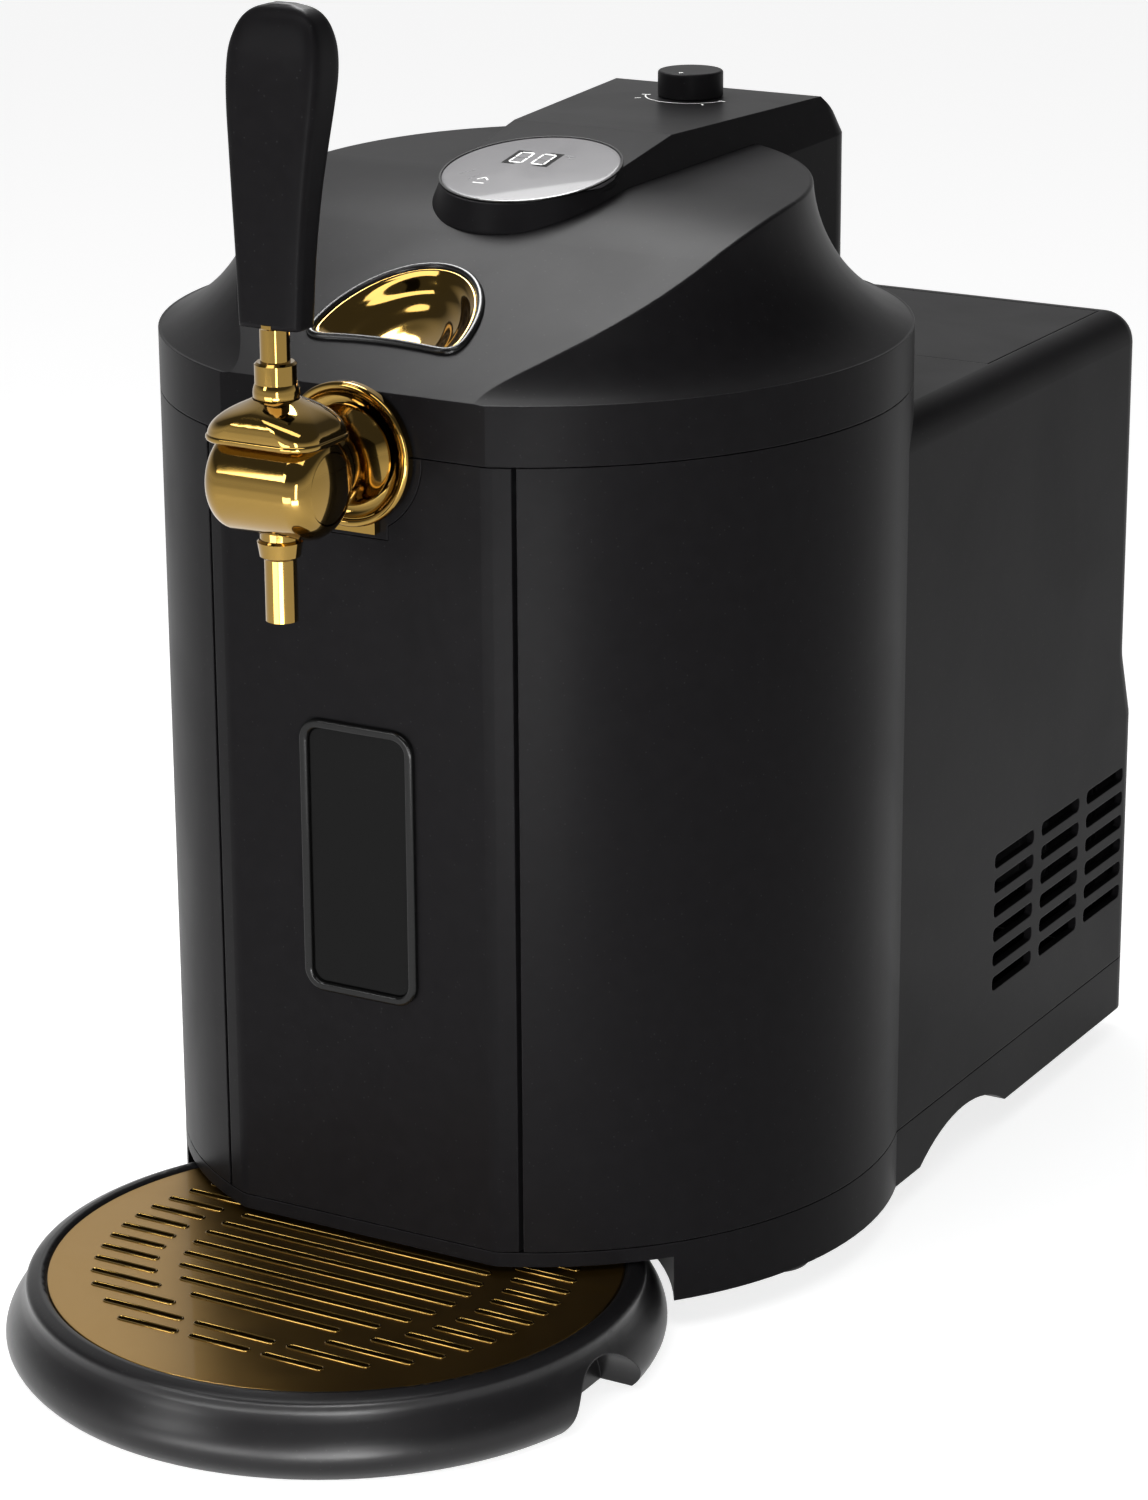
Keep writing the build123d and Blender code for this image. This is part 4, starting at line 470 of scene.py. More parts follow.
def turned(profile, steps):
    """Points and faces of a half section (radius, height) turned about Z."""
    angles = [2 * math.pi * k / steps for k in range(steps)]
    points = [(r * math.cos(angle), r * math.sin(angle), z) for angle in angles for r, z in profile]
    return points, ring_faces(steps, len(profile), closed=True)


def prisms(outlines, low, high):
    """Points and faces of flat plates, one for each closed outline of (x, y)."""
    points, faces = [], []
    for outline in outlines:
        start, count = len(points), len(outline)
        points += [(x, y, low) for x, y in outline] + [(x, y, high) for x, y in outline]
        faces.append(tuple(start + i for i in reversed(range(count))))
        faces.append(tuple(start + count + i for i in range(count)))
        for i in range(count):
            j = (i + 1) % count
            faces.append((start + i, start + j, start + count + j, start + count + i))
    return points, faces


def arc_points(centre, radius, first, last, steps):
    """Points on an arc, angles in degrees."""
    angles = [math.radians(first + k * (last - first) / steps) for k in range(steps + 1)]
    return [(centre[0] + radius * math.cos(a), centre[1] + radius * math.sin(a)) for a in angles]


def stadium(start, end, radius, steps=8):
    """Outline of a slot with round ends between two points of one row."""
    y = start[1]
    right = arc_points((end[0] - radius, y), radius, -90, 90, steps)
    left = arc_points((start[0] + radius, y), radius, 90, 270, steps)
    return right + left


def band_outline(centre, inner, outer, first, last, steps=24):
    """Outline of a curved band between two radii."""
    return arc_points(centre, outer, first, last, steps) + arc_points(centre, inner, last, first, steps)


def bar_outline(start, end, width):
    """Outline of a straight bar."""
    along = (Vector(end) - Vector(start)).normalized()
    side = Vector((-along.y, along.x)) * width / 2
    return [tuple(Vector(p) + s * side) for p, s in ((start, -1), (end, -1), (end, 1), (start, 1))]


def smooth_loop(corners, count, passes):
    """Even points along a closed outline, with its corners eased by repeated averaging."""
    lengths = [(Vector(b) - Vector(a)).length for a, b in zip(corners, corners[1:] + corners[:1])]
    step, walked, k, loop = sum(lengths) / count, 0.0, 0, []
    for i in range(count):
        while walked + lengths[k] < i * step - 1e-9:
            walked += lengths[k]
            k += 1
        a, b = Vector(corners[k]), Vector(corners[(k + 1) % len(corners)])
        loop.append(a.lerp(b, (i * step - walked) / lengths[k]))
    for _ in range(passes):
        loop = [(loop[i - 1] + 2 * p + loop[(i + 1) % count]) / 4 for i, p in enumerate(loop)]
    return loop


def outward(loop):
    """Unit normals of a closed loop of points, away from its inside."""
    count = len(loop)
    following = loop[1:] + loop[:1]
    sign = 1.0 if sum(p.x * q.y - q.x * p.y for p, q in zip(loop, following)) > 0 else -1.0
    along = [(following[i] - loop[i - 1]).normalized() for i in range(count)]
    return [Vector((sign * t.y, -sign * t.x)) for t in along]


def catmull(points, steps):
    """Smooth curve through points, its ends included."""
    inner = [Vector(p) for p in points]
    ends = [2 * inner[0] - inner[1], *inner, 2 * inner[-1] - inner[-2]]
    curve = []
    for a, b, c, d in zip(ends, ends[1:], ends[2:], ends[3:]):
        for k in range(steps):
            t = k / steps
            square, cube = 2 * a - 5 * b + 4 * c - d, 3 * b - a - 3 * c + d
            curve.append((2 * b + (c - a) * t + square * t**2 + cube * t**3) / 2)
    return curve + [inner[-1]]


# ---- geometry node trees
def geometry_tree(name, inputs):
    """Empty geometry tree with named inputs and a material."""
    inputs = {"Geometry": "Geometry", **inputs, "Material": "Material"}
    return node_group(name, "GeometryNodeTree", inputs, {"Geometry": "Geometry"})


def end_tree(wires, geometry, material, result):
    """Every tree ends in Realize Instances and Set Material."""
    real = wires.node("GeometryNodeRealizeInstances", {"Geometry": geometry})
    painted = wires.node("GeometryNodeSetMaterial", {"Geometry": real.outputs[0], "Material": material})
    wires.feed(result, {"Geometry": painted.outputs[0]})
    return wires.tree


def build_bead_tree(name):
    """A round bead swept along every edge loop of the mesh."""
    wires, given, result = geometry_tree(name, {"Bead Radius": "Float", "Bead Steps": "Int"})
    path = wires.node("GeometryNodeMeshToCurve", {"Mesh": given["Geometry"]}).outputs[0]
    size = {"Resolution": given["Bead Steps"], "Radius": given["Bead Radius"]}
    ring = wires.node("GeometryNodeCurvePrimitiveCircle", size, mode="RADIUS").outputs["Curve"]
    swept = wires.node("GeometryNodeCurveToMesh", {"Curve": path, "Profile Curve": ring})
    smooth = wires.node("GeometryNodeSetShadeSmooth", {"Geometry": swept.outputs[0]})
    return end_tree(wires, smooth.outputs[0], given["Material"], result)


def build_screw_tree(name):
    """The given screw at every point, along the point's facing attribute, its recess turned at random."""
    wires, given, result = geometry_tree(name, {"Screw": "Object", "Seed": "Int"})
    facing = wires.node("GeometryNodeInputNamedAttribute", {"Name": "facing"}, data_type="FLOAT_VECTOR")
    aimed = wires.node("FunctionNodeAlignRotationToVector", {"Vector": facing.outputs["Attribute"]}, axis="Z")
    spin = wires.node("FunctionNodeRandomValue", {"Seed": given["Seed"]}, data_type="FLOAT")
    angle = wires.times(spin.outputs[1], math.pi / 2)
    spun = wires.node("FunctionNodeAxisAngleToRotation", {"Axis": (0.0, 0.0, 1.0), "Angle": angle})
    turns = {"Rotation": aimed.outputs[0], "Rotate By": spun.outputs[0]}
    rotation = wires.node("FunctionNodeRotateRotation", turns, rotation_space="LOCAL").outputs[0]
    screw = wires.node("GeometryNodeObjectInfo", {"Object": given["Screw"]}).outputs["Geometry"]
    sockets = {"Points": given["Geometry"], "Instance": screw, "Rotation": rotation}
    placed = wires.node("GeometryNodeInstanceOnPoints", sockets)
    return end_tree(wires, placed.outputs[0], given["Material"], result)


def screw_mesh(name, head_r, head_h, shank_r, shank_l):
    """Cross-recessed pan-head screw standing on its head's underside, in millimetres."""
    steps, arm, bar = 32, head_r * 0.58, head_r * 0.13
    profile = [
        (0.0, -shank_l), (shank_r * 0.7, -shank_l), (shank_r, -shank_l + 0.5), (shank_r, 0.0), (head_r, 0.0),
        (head_r, head_h * 0.5), (head_r * 0.93, head_h * 0.82), (head_r * 0.74, head_h),
    ]
    cross = [
        (arm, -bar), (arm, bar), (bar, bar), (bar, arm), (-bar, arm), (-bar, bar),
        (-arm, bar), (-arm, -bar), (-bar, -bar), (-bar, -arm), (bar, -arm), (bar, -bar),
    ]
    work = bmesh.new()
    rings = []
    for r, z in profile:
        if r == 0.0:
            rings.append([work.verts.new((0.0, 0.0, z * MM))] * steps)
        else:
            turns = (2 * math.pi * k / steps for k in range(steps))
            ring = [(r * math.cos(t) * MM, r * math.sin(t) * MM, z * MM) for t in turns]
            rings.append([work.verts.new(p) for p in ring])
    for low, high in zip(rings, rings[1:]):
        for k in range(steps):
            corners = dict.fromkeys((low[k], low[(k + 1) % steps], high[(k + 1) % steps], high[k]))
            work.faces.new(corners)
    brim = [work.verts.new((x * MM, y * MM, head_h * MM)) for x, y in cross]
    floor = [work.verts.new((x * MM, y * MM, head_h * 0.4 * MM)) for x, y in cross]
    for k in range(len(cross)):
        j = (k + 1) % len(cross)
        work.faces.new((brim[k], brim[j], floor[j], floor[k]))
    work.faces.new(floor)
    work.edges.index_update()
    open_edges = [edge for edge in work.edges if len(edge.link_faces) == 1]
    bmesh.ops.triangle_fill(work, edges=open_edges, use_beauty=True)
    bmesh.ops.recalc_face_normals(work, faces=work.faces)
    mesh = bpy.data.meshes.new(name)
    work.to_mesh(mesh)
    work.free()
    return mesh


def run_tree(name, mesh, tree, values):
    """Runs a geometry tree on a mesh and gives the plain mesh that comes out."""
    carrier = linked(name, mesh)
    modifier = carrier.modifiers.new("Repeat", "NODES")
    modifier.node_group = tree
    for item in tree.interface.items_tree:
        if item.item_type == "SOCKET" and item.in_out == "INPUT" and item.name in values:
            modifier[item.identifier] = values[item.name]
    bpy.context.view_layer.update()
    graph = bpy.context.evaluated_depsgraph_get()
    made = bpy.data.meshes.new_from_object(carrier.evaluated_get(graph), depsgraph=graph)
    bpy.data.objects.remove(carrier)
    if not made.polygons:
        raise RuntimeError(f"{name}: the geometry tree made nothing")
    made.name = name
    return made


def loops_mesh(name, outlines, height):
    """Mesh of closed edge loops at one height, in metres."""
    points, edges = [], []
    for outline in outlines:
        start, count = len(points), len(outline)
        points += [Vector((x, y, height)) * MM for x, y in outline]
        edges += [(start + i, start + (i + 1) % count) for i in range(count)]
    mesh = bpy.data.meshes.new(name)
    mesh.from_pydata(points, edges, [])
    return mesh


def facing_points(name, places):
    """Mesh of points in metres, each with the direction that it faces."""
    mesh = bpy.data.meshes.new(name)
    mesh.from_pydata([Vector(p) * MM for p, _ in places], [], [])
    facing = mesh.attributes.new("facing", "FLOAT_VECTOR", "POINT")
    for k, (_, direction) in enumerate(places):
        facing.data[k].vector = direction
    return mesh


# ---- settings
def tint(name, description, value):
    limits = {"size": 3, "min": 0.0, "max": 1.0}
    return FloatVectorProperty(name=name, description=description, default=value, subtype="COLOR", **limits)


def amount(name, description, value, **more):
    return FloatProperty(name=name, description=description, default=value, **{"min": 0.0, **more})


def length(name, description, value):
    return amount(name, description, value, unit="LENGTH", precision=5)


def power(name, description, value):
    return amount(name, description, value, unit="POWER")


class DispenserColours(PropertyGroup):
    satin_black: tint("Satin black", "Colour of the moulded housing", (0.0058, 0.0055, 0.0060))
    gloss_black: tint("Gloss black", "Colour of the polished trims", (0.004, 0.004, 0.004))
    gold: tint("Gold", "Colour of the polished plating", (0.265, 0.163, 0.037))
    grid_gold: tint("Grid gold", "Colour of the drip grid's satin plating", (0.31, 0.178, 0.037))
    display_grey: tint("Display grey", "Colour behind the touch glass", (0.060, 0.057, 0.062))
    print_white: tint("Print white", "Colour of the printed marks and lit numerals", (0.80, 0.80, 0.78))
    floor: tint("Floor", "Colour of the studio floor", (0.58, 0.58, 0.58))


class DispenserSizes(PropertyGroup):
    bead_radius: length("Slot bead", "Radius of the rolled bead round each slot of the drip grid", 0.00036)
    digit_width: length("Digit width", "Width of one display numeral", 0.0050)
    digit_height: length("Digit height", "Height of one display numeral", 0.0096)
    bar_width: length("Bar width", "Width of a numeral's bars", 0.0008)
    glass_dome: length("Glass dome", "How far the touch glass domes at its middle", 0.0004)
    scale_radius: length("Knob scale", "Radius of the printed arc round the knob", 0.0165)
    scoop_depth: length("Scoop depth", "Depth of the finger scoop", 0.0094)
    scoop_waves: amount("Scoop waves", "Soft steps across the scoop's wall", 3.0)
    handle_squareness: amount("Handle squareness", "Squareness of its section; 2 is round", 6.0, min=2.0)
    screw_seed: IntProperty(name="Screw seed", description="Seed of the screws' turns", default=3)


class DispenserStudio(PropertyGroup):
    key: power("Key lamp", "Power of the front softbox", 9.0)
    card: power("Low card", "Power of the low card in front", 2.2)
    top: power("Top lamp", "Power of the overhead softbox", 4.6)
    rim: power("Rear lamp", "Power of the rear softbox", 1.2)
    fill: power("Fill lamp", "Power of the upright front fill", 5.0)
    low_fill: power("Low fill", "Power of the low front fill", 2.4)
    strip: power("Overhead strip", "Power of the overhead strip", 8.5)
    sky: amount("Sky", "Strength of the pale surroundings", 1.0)
    floor_glow: amount("Floor glow", "White added to the floor", 0.76)


# parts whose finish differs from the rest of their slot
FINISH_OF = {"drip_grid": "satin_gold", "fascia_window": "window_black", "drip_tray": "tray_black"}


# ---- operators
class DISPENSER_OT_finishes(Operator):
    """Gives every part of the frame its finish"""

    bl_idname = "dispenser.finishes"
    bl_label = "Finishes"

    def execute(self, context):
        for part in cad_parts.values():
            for slot in part.material_slots:
                if slot.material is None:
                    raise RuntimeError(f"{part.name} has an empty material slot")
                base = slot.material.name.split(".")[0]
                if not base.startswith("finish_"):
                    slot.material = finish(FINISH_OF.get(part.name, base))
        return {"FINISHED"}


class DISPENSER_OT_display(Operator):
    """Makes the domed touch glass with its window, numerals and printed key marks"""

    bl_idname = "dispenser.display"
    bl_label = "Display"

    # places on the glass, in millimetres from its middle
    WINDOW = ((-13.1, 1.7), (5.2, 1.7), (5.2, 14.7), (-13.1, 14.7))
    NUMERALS_X, NUMERALS_Y, BAR_GAP = (-8.35, 0.45), 8.2, 0.18
    PRINT_T, LIT_RISE, DOME_RINGS = 0.03, 0.035, 24
    DARK_BANDS = (((7.3, 13.4), 0.45, 0.8, 0, 355), ((9.7, 12.2), 1.0, 1.4, 50, 310))
    DARK_BARS = (((-22.2, -11.4), (-18.6, -6.8), 0.35), ((-16.2, -15.2), (-14.6, -10.2), 0.45))
    BRIGHT_BARS = (
        ((-13.2, -14.6), (-11.0, -12.4), 0.7),
        ((-11.0, -12.4), (-8.8, -14.6), 0.7),
        ((-13.2, -17.6), (-8.8, -17.6), 0.7),
    )

    def execute(self, context):
        sizes = context.scene.dispenser_sizes
        place = plane_at(DISPLAY_CENTRE, DISPLAY_TILT, DISPLAY_RISE)
        dome = sizes.glass_dome / MM

        def height(x, y):
            return dome * (1.0 - (x * x + y * y) / DISPLAY_R**2)

        rim = [(DISPLAY_R, -DISPLAY_T), (DISPLAY_R, -0.25), (DISPLAY_R - 0.08, -0.08), (DISPLAY_R - 0.3, 0.0)]
        radii = [DISPLAY_R * (1 - k / self.DOME_RINGS) for k in range(1, self.DOME_RINGS)]
        top = [(radius, height(radius, 0)) for radius in radii]
        profile = [(0.0, -DISPLAY_T), *rim, *top, (0.0, dome)]
        ties = {"replaces": "display_lens", "place": place, "sharp_angle": 50}
        add_shape("touch_glass", turned(profile, 128), "lid", "display_grey", **ties)

        def print_on(name, outlines, rise, material, slot):
            points, faces = prisms(outlines, 0.0, self.PRINT_T)
            worn_and_highlighted_colour = [(x, y, z + rise + height(x, y)) for x, y, z in points]
            add_shape(name, (worn_and_highlighted_colour, faces), "lid", material, slot, place=place, smooth=False)

        print_on("numeral_window", [self.WINDOW], 0.0, "window_black", "gloss_black")
        lit, unlit = [], []
        width, tall, bar = sizes.digit_width / MM, sizes.digit_height / MM, sizes.bar_width / MM
        middle = self.NUMERALS_Y
        low, high = middle - tall / 2, middle + tall / 2
        for centre_x in self.NUMERALS_X:
            left, right = centre_x - width / 2, centre_x + width / 2
            for y in (low, high):
                lit.append(self.bar((left, y), (right, y), bar, self.BAR_GAP))
            unlit.append(self.bar((left, middle), (right, middle), bar, self.BAR_GAP))
            for x in (left, right):
                lit.append(self.bar((x, low), (x, middle), bar, self.BAR_GAP))
                lit.append(self.bar((x, middle), (x, high), bar, self.BAR_GAP))
        print_on("numeral_bars", lit, self.LIT_RISE, "lit_segment", "display_grey")
        print_on("numeral_middle_bars", unlit, self.LIT_RISE, "unlit_segment", "gloss_black")
        dark = [band_outline(*mark) for mark in self.DARK_BANDS]
        dark += [bar_outline(*mark) for mark in self.DARK_BARS]
        print_on("key_marks_dark", dark, 0.0, "print_dark", "gloss_black")
        bright = [bar_outline(*mark) for mark in self.BRIGHT_BARS]
        print_on("key_marks_bright", bright, 0.0, "print_white", "display_grey")
        return {"FINISHED"}

    @staticmethod
    def bar(start, end, width, gap):
        """Six-sided bar of a numeral."""
        a, b = Vector(start), Vector(end)
        along = (b - a).normalized()
        a, b = a + along * gap, b - along * gap
        side = Vector((-along.y, along.x)) * width / 2
        inset = along * width / 2
        points = (a, a + inset - side, b - inset - side, b, b - inset + side, a + inset + side)
        return [tuple(p) for p in points]


class DISPENSER_OT_finger_scoop(Operator):
    """Presses the plated finger scoop of the lid and rolls its black rim"""

    bl_idname = "dispenser.finger_scoop"
    bl_label = "Finger scoop"

    CENTRE = (1.5, 15.0)
    # share of the outline and height of the lip's rings
    LIP = [(1.0, -1.2), (1.0, 0.15), (0.988, 0.36), (0.972, 0.42), (0.955, 0.32), (0.942, 0.05)]
    # share of the outline, share of the depth and distance below it
    UNDERSIDE = [(0.0, 1.0, 1.3), (0.3, 1.0, 1.2), (0.6, 0.86, 1.2), (0.85, 0.5, 1.6)]
    WALL_RINGS, WALL_CURVE = 40, 2.3
    RIPPLE, RIPPLE_PACE, RIPPLE_FADE = 0.42, 0.9, 1.5
    # distance from the outline and height of the rim's section
    RIM = [
        (0.1, -0.4), (0.1, 0.75), (0.4, 1.25), (0.95, 1.52), (1.5, 1.58),
        (2.1, 1.4), (2.6, 0.85), (2.8, 0.1), (2.8, -0.4),
    ]
    OUTLINE_POINTS, OUTLINE_PASSES = 192, 40

    def execute(self, context):
        sizes = context.scene.dispenser_sizes
        place = plane_at(PULL_ORIGIN, PULL_TILT)
        loop = self.outline()
        centre, depth = Vector(self.CENTRE), sizes.scoop_depth / MM
        inner, start = self.LIP[-1]
        wall = []
        for k in range(1, self.WALL_RINGS + 1):
            share = k / self.WALL_RINGS
            fall = 1.0 - (1.0 - share) ** self.WALL_CURVE
            wave = math.sin(2 * math.pi * sizes.scoop_waves * share**self.RIPPLE_PACE)
            ripple = self.RIPPLE * wave * (1.0 - share) ** self.RIPPLE_FADE
            wall.append((inner * (1.0 - share), start - depth * fall + ripple))
        under = [(share, -depth * deep - more) for share, deep, more in self.UNDERSIDE]
        rings = [([centre + (p - centre) * scale for p in loop], z) for scale, z in self.LIP + wall + under]
        add_shape("finger_scoop", self.lofted(rings), "lid", "polished_gold", None, "finger_pull", place=place)
        sides = outward(loop)
        rings = [([p + n * out for p, n in zip(loop, sides)], z) for out, z in self.RIM]
        ties = {"replaces": "finger_pull_trim", "place": place, "sharp_angle": 70}
        add_shape("scoop_rim", self.lofted(rings), "lid", "rim_black", "gloss_black", **ties)
        return {"FINISHED"}

    @staticmethod
    def lofted(rings):
        """Points and faces of a closed skin over level rings, each a loop of points and its height."""
        points = [(*p, z) for loop, z in rings for p in loop]
        return points, ring_faces(len(rings), len(rings[0][0]), closed=True)

    def outline(self):
        """Rounded crescent, drawn in the plane of the ramp."""
        right = [(1.0, 0.0), (0.94, 0.38), (0.72, 0.71), (0.38, 0.93)]
        arch = [(PULL_HALF * x, PULL_REACH * y) for x, y in right] + [(0.0, PULL_REACH)]
        arch += [(-PULL_HALF * x, PULL_REACH * y) for x, y in reversed(right)]
        corners = [tuple(p) for p in catmull(arch, 12)]
        across = [2 * k / 24 - 1 for k in range(1, 24)]
        front = [(PULL_HALF * x, PULL_BOW * (1 - x**2)) for x in across]
        return smooth_loop(corners + front, self.OUTLINE_POINTS, self.OUTLINE_PASSES)


class DISPENSER_OT_handle(Operator):
    """Shapes the tap's paddle handle"""

    bl_idname = "dispenser.handle"
    bl_label = "Handle"

    # share of the height, width, depth and place of the front face
    SECTIONS = (
        (0.000, 22.6, 11.6, -169.90),
        (0.004, 23.2, 12.2, -169.95),
        (0.20, 25.0, 12.8, -169.6),
        (0.40, 28.0, 14.0, -168.9),
        (0.55, 30.8, 15.6, -168.0),
        (0.68, 33.4, 17.0, -167.0),
        (0.78, 34.6, 17.8, -165.9),
        (0.86, 33.8, 17.0, -164.6),
        (0.92, 30.4, 14.8, -162.8),
        (0.96, 25.6, 12.0, -161.0),
        (0.985, 18.6, 8.6, -159.0),
        (1.0, 8.0, 3.8, -156.6),
    )
    STEPS_UP, STEPS_ROUND = 8, 96

    def execute(self, context):
        squareness = context.scene.dispenser_sizes.handle_squareness
        count, points = self.STEPS_ROUND, []
        shares, *columns = zip(*self.SECTIONS)
        tables = [catmull(list(zip(shares, column)), self.STEPS_UP) for column in columns]
        for row in zip(*tables):
            share, width, depth, front = row[0].x, row[0].y, row[1].y, row[2].y
            z = HANDLE_BOTTOM + share * (HANDLE_TOP - HANDLE_BOTTOM)
            for k in range(count):
                x, y = self.rounded(2 * math.pi * k / count, squareness)
                points.append((width / 2 * x, front + depth / 2 * (1 + y), min(z, HANDLE_TOP)))
        rings = len(tables[0])
        faces = ring_faces(rings, count)
        faces += [tuple(range(count)), tuple(range((rings - 1) * count, rings * count))]
        ties = {"replaces": "tap_handle", "sharp_angle": 40}
        add_shape("paddle_handle", (points, faces), "handle", "satin_black", **ties)
        return {"FINISHED"}

    @staticmethod
    def rounded(angle, squareness):
        """Point of a rounded square of half width 1."""
        c, s = math.cos(angle), math.sin(angle)
        reach = (abs(c) ** squareness + abs(s) ** squareness) ** (1.0 / squareness)
        return c / reach, s / reach


class DISPENSER_OT_knob_scale(Operator):
    """Prints the scale round the knob and its pointer dot"""

    bl_idname = "dispenser.knob_scale"
    bl_label = "Knob scale"

    ARC_ENDS, HALF_LINE, PRINT_T = (-162, -18), 0.25, 0.04
    # angle, ends from the arc outwards, width
    TICKS = ((-162, -1.6, 1.6, 0.9), (-18, -1.6, 1.6, 0.9), (-139, 2.2, 4.4, 0.7), (-49, 2.2, 4.4, 0.7))
    DOT_SECTION = [(0.0, 0.0), (0.85, 0.0), (0.85, 0.38), (0.6, 0.42), (0.0, 0.42)]
    DOT_REACH, DOT_DEPTH = 0.62, 0.4

    def execute(self, context):
        radius = context.scene.dispenser_sizes.scale_radius / MM
        centre = (0.0, KNOB_Y)
        inner, outer = radius - self.HALF_LINE, radius + self.HALF_LINE
        outlines = [band_outline(centre, inner, outer, *self.ARC_ENDS, 48)]
        for angle, start, end, width in self.TICKS:
            outlines.append(self.tick(centre, radius + start, radius + end, angle, width))
        plates = prisms(outlines, CONSOLE_TOP, CONSOLE_TOP + self.PRINT_T)
        add_shape("knob_scale", plates, "lid", "print_white", "display_grey", smooth=False)
        place = plane_at((0.0, KNOB_Y - KNOB_R * self.DOT_REACH, KNOB_TOP - self.DOT_DEPTH))
        dot = turned(self.DOT_SECTION, 32)
        add_shape("knob_dot", dot, "knob", "print_white", "display_grey", place=place, sharp_angle=40)
        return {"FINISHED"}

    @staticmethod
    def tick(centre, inner, outer, angle, width):
        """Short bar along a radius."""
        ends = [arc_points(centre, r, angle, angle, 1)[0] for r in (inner, outer)]
        return bar_outline(ends[0], ends[1], width)


class DISPENSER_OT_grid_beads(Operator):
    """Rolls a bead round every slot of the drip grid"""

    bl_idname = "dispenser.grid_beads"
    bl_label = "Grid beads"

    # the plate's own pattern of slots, in millimetres
    OUTER_BAND, INNER_R, PITCH, ROWS = (62.0, 84.0), 54.0, 9.0, range(-8, 5)
    SLOT_R, SLOT_MARGIN = 1.35, 0.15
    HALF_BRIDGE, LEAST_HALF = 2.5, 12

    def execute(self, context):
        outlines = [stadium(start, end, self.SLOT_R + self.SLOT_MARGIN) for start, end in self.slots()]
        values = {
            "Bead Radius": context.scene.dispenser_sizes.bead_radius,
            "Bead Steps": 8,
            "Material": finish("polished_gold"),
        }
        loops = loops_mesh("grid_beads", outlines, GRID_TOP)
        beads = run_tree("grid_beads", loops, shared_tree("Rolled Bead", build_bead_tree), values)
        add_piece("grid_beads", beads, "tray", "polished_gold")
        return {"FINISHED"}

    def slots(self):
        """Both ends of every slot, row by row."""
        found = []
        for row in self.ROWS:
            offset = row * self.PITCH
            low, high = (self.half_chord(radius, offset) for radius in self.OUTER_BAND)
            if low > 0:
                spans = [(-high, -low), (low, high)]
            else:
                third, gap = 2 * high / 3, self.HALF_BRIDGE
                spans = [(-high + k * third + gap, -high + (k + 1) * third - gap) for k in range(3)]
            half = self.half_chord(self.INNER_R, offset)
            if half > self.LEAST_HALF:
                spans.append((-half, half))
            found += [((a, TRAY_Y + offset), (b, TRAY_Y + offset)) for a, b in spans]
        return found

    @staticmethod
    def half_chord(radius, offset):
        return math.sqrt(max(radius**2 - offset**2, 0.0))


class DISPENSER_OT_screws(Operator):
    """Sets cross-recessed screws in the base, the back and the fan"""

    bl_idname = "dispenser.screws"
    bl_label = "Screws"

    HEAD_R = 3.2
    REAR_X, REAR_Z, REAR_INSET = (-98.0, 98.0), (54.0, 200.0, 278.0), 1.6
    BASE_PLACES, BASE_Z = ((117.0, 40.0), (60.0, 244.0)), 14.2
    # the back face stands further out below its step
    BACK_LOW, BACK_HIGH, BACK_STEP_Z = 256.0, 247.0, 138.0

    def execute(self, context):
        back, down = (0.0, 1.0, 0.0), (0.0, 0.0, -1.0)
        rear = [((x, self.back_y(z) - self.REAR_INSET, z), back) for x in self.REAR_X for z in self.REAR_Z]
        base = [((side * x, y, self.BASE_Z), down) for x, y in self.BASE_PLACES for side in (-1, 1)]
        holes = (-FAN_HOLES, FAN_HOLES)
        fan = [((x, FAN_REAR, FAN_Z + z), back) for x in holes for z in holes]
        # name, node that it replaces, places, height of the head, radius and length of the shank
        self.set_screws(context, "rear_fasteners", "rear_screws", rear, 1.5, 1.6, 8.0)
        self.set_screws(context, "base_fasteners", "base_screws", base, 2.0, 1.5, 16.0)
        self.set_screws(context, "fan_fasteners", "fan_screws", fan, 2.0, 1.9, 24.0)
        return {"FINISHED"}

    def set_screws(self, context, name, node, places, *sizes):
        """One set of like screws."""
        screw = linked("screw", screw_mesh("screw", self.HEAD_R, *sizes))
        seed = context.scene.dispenser_sizes.screw_seed
        values = {"Screw": screw, "Seed": seed, "Material": finish("bright_steel")}
        made = run_tree(name, facing_points(name, places), shared_tree("Screw Set", build_screw_tree), values)
        bpy.data.objects.remove(screw)
        add_piece(name, made, "housing", "bright_steel", replaces=node)

    def back_y(self, z):
        return self.BACK_LOW if z < self.BACK_STEP_Z else self.BACK_HIGH


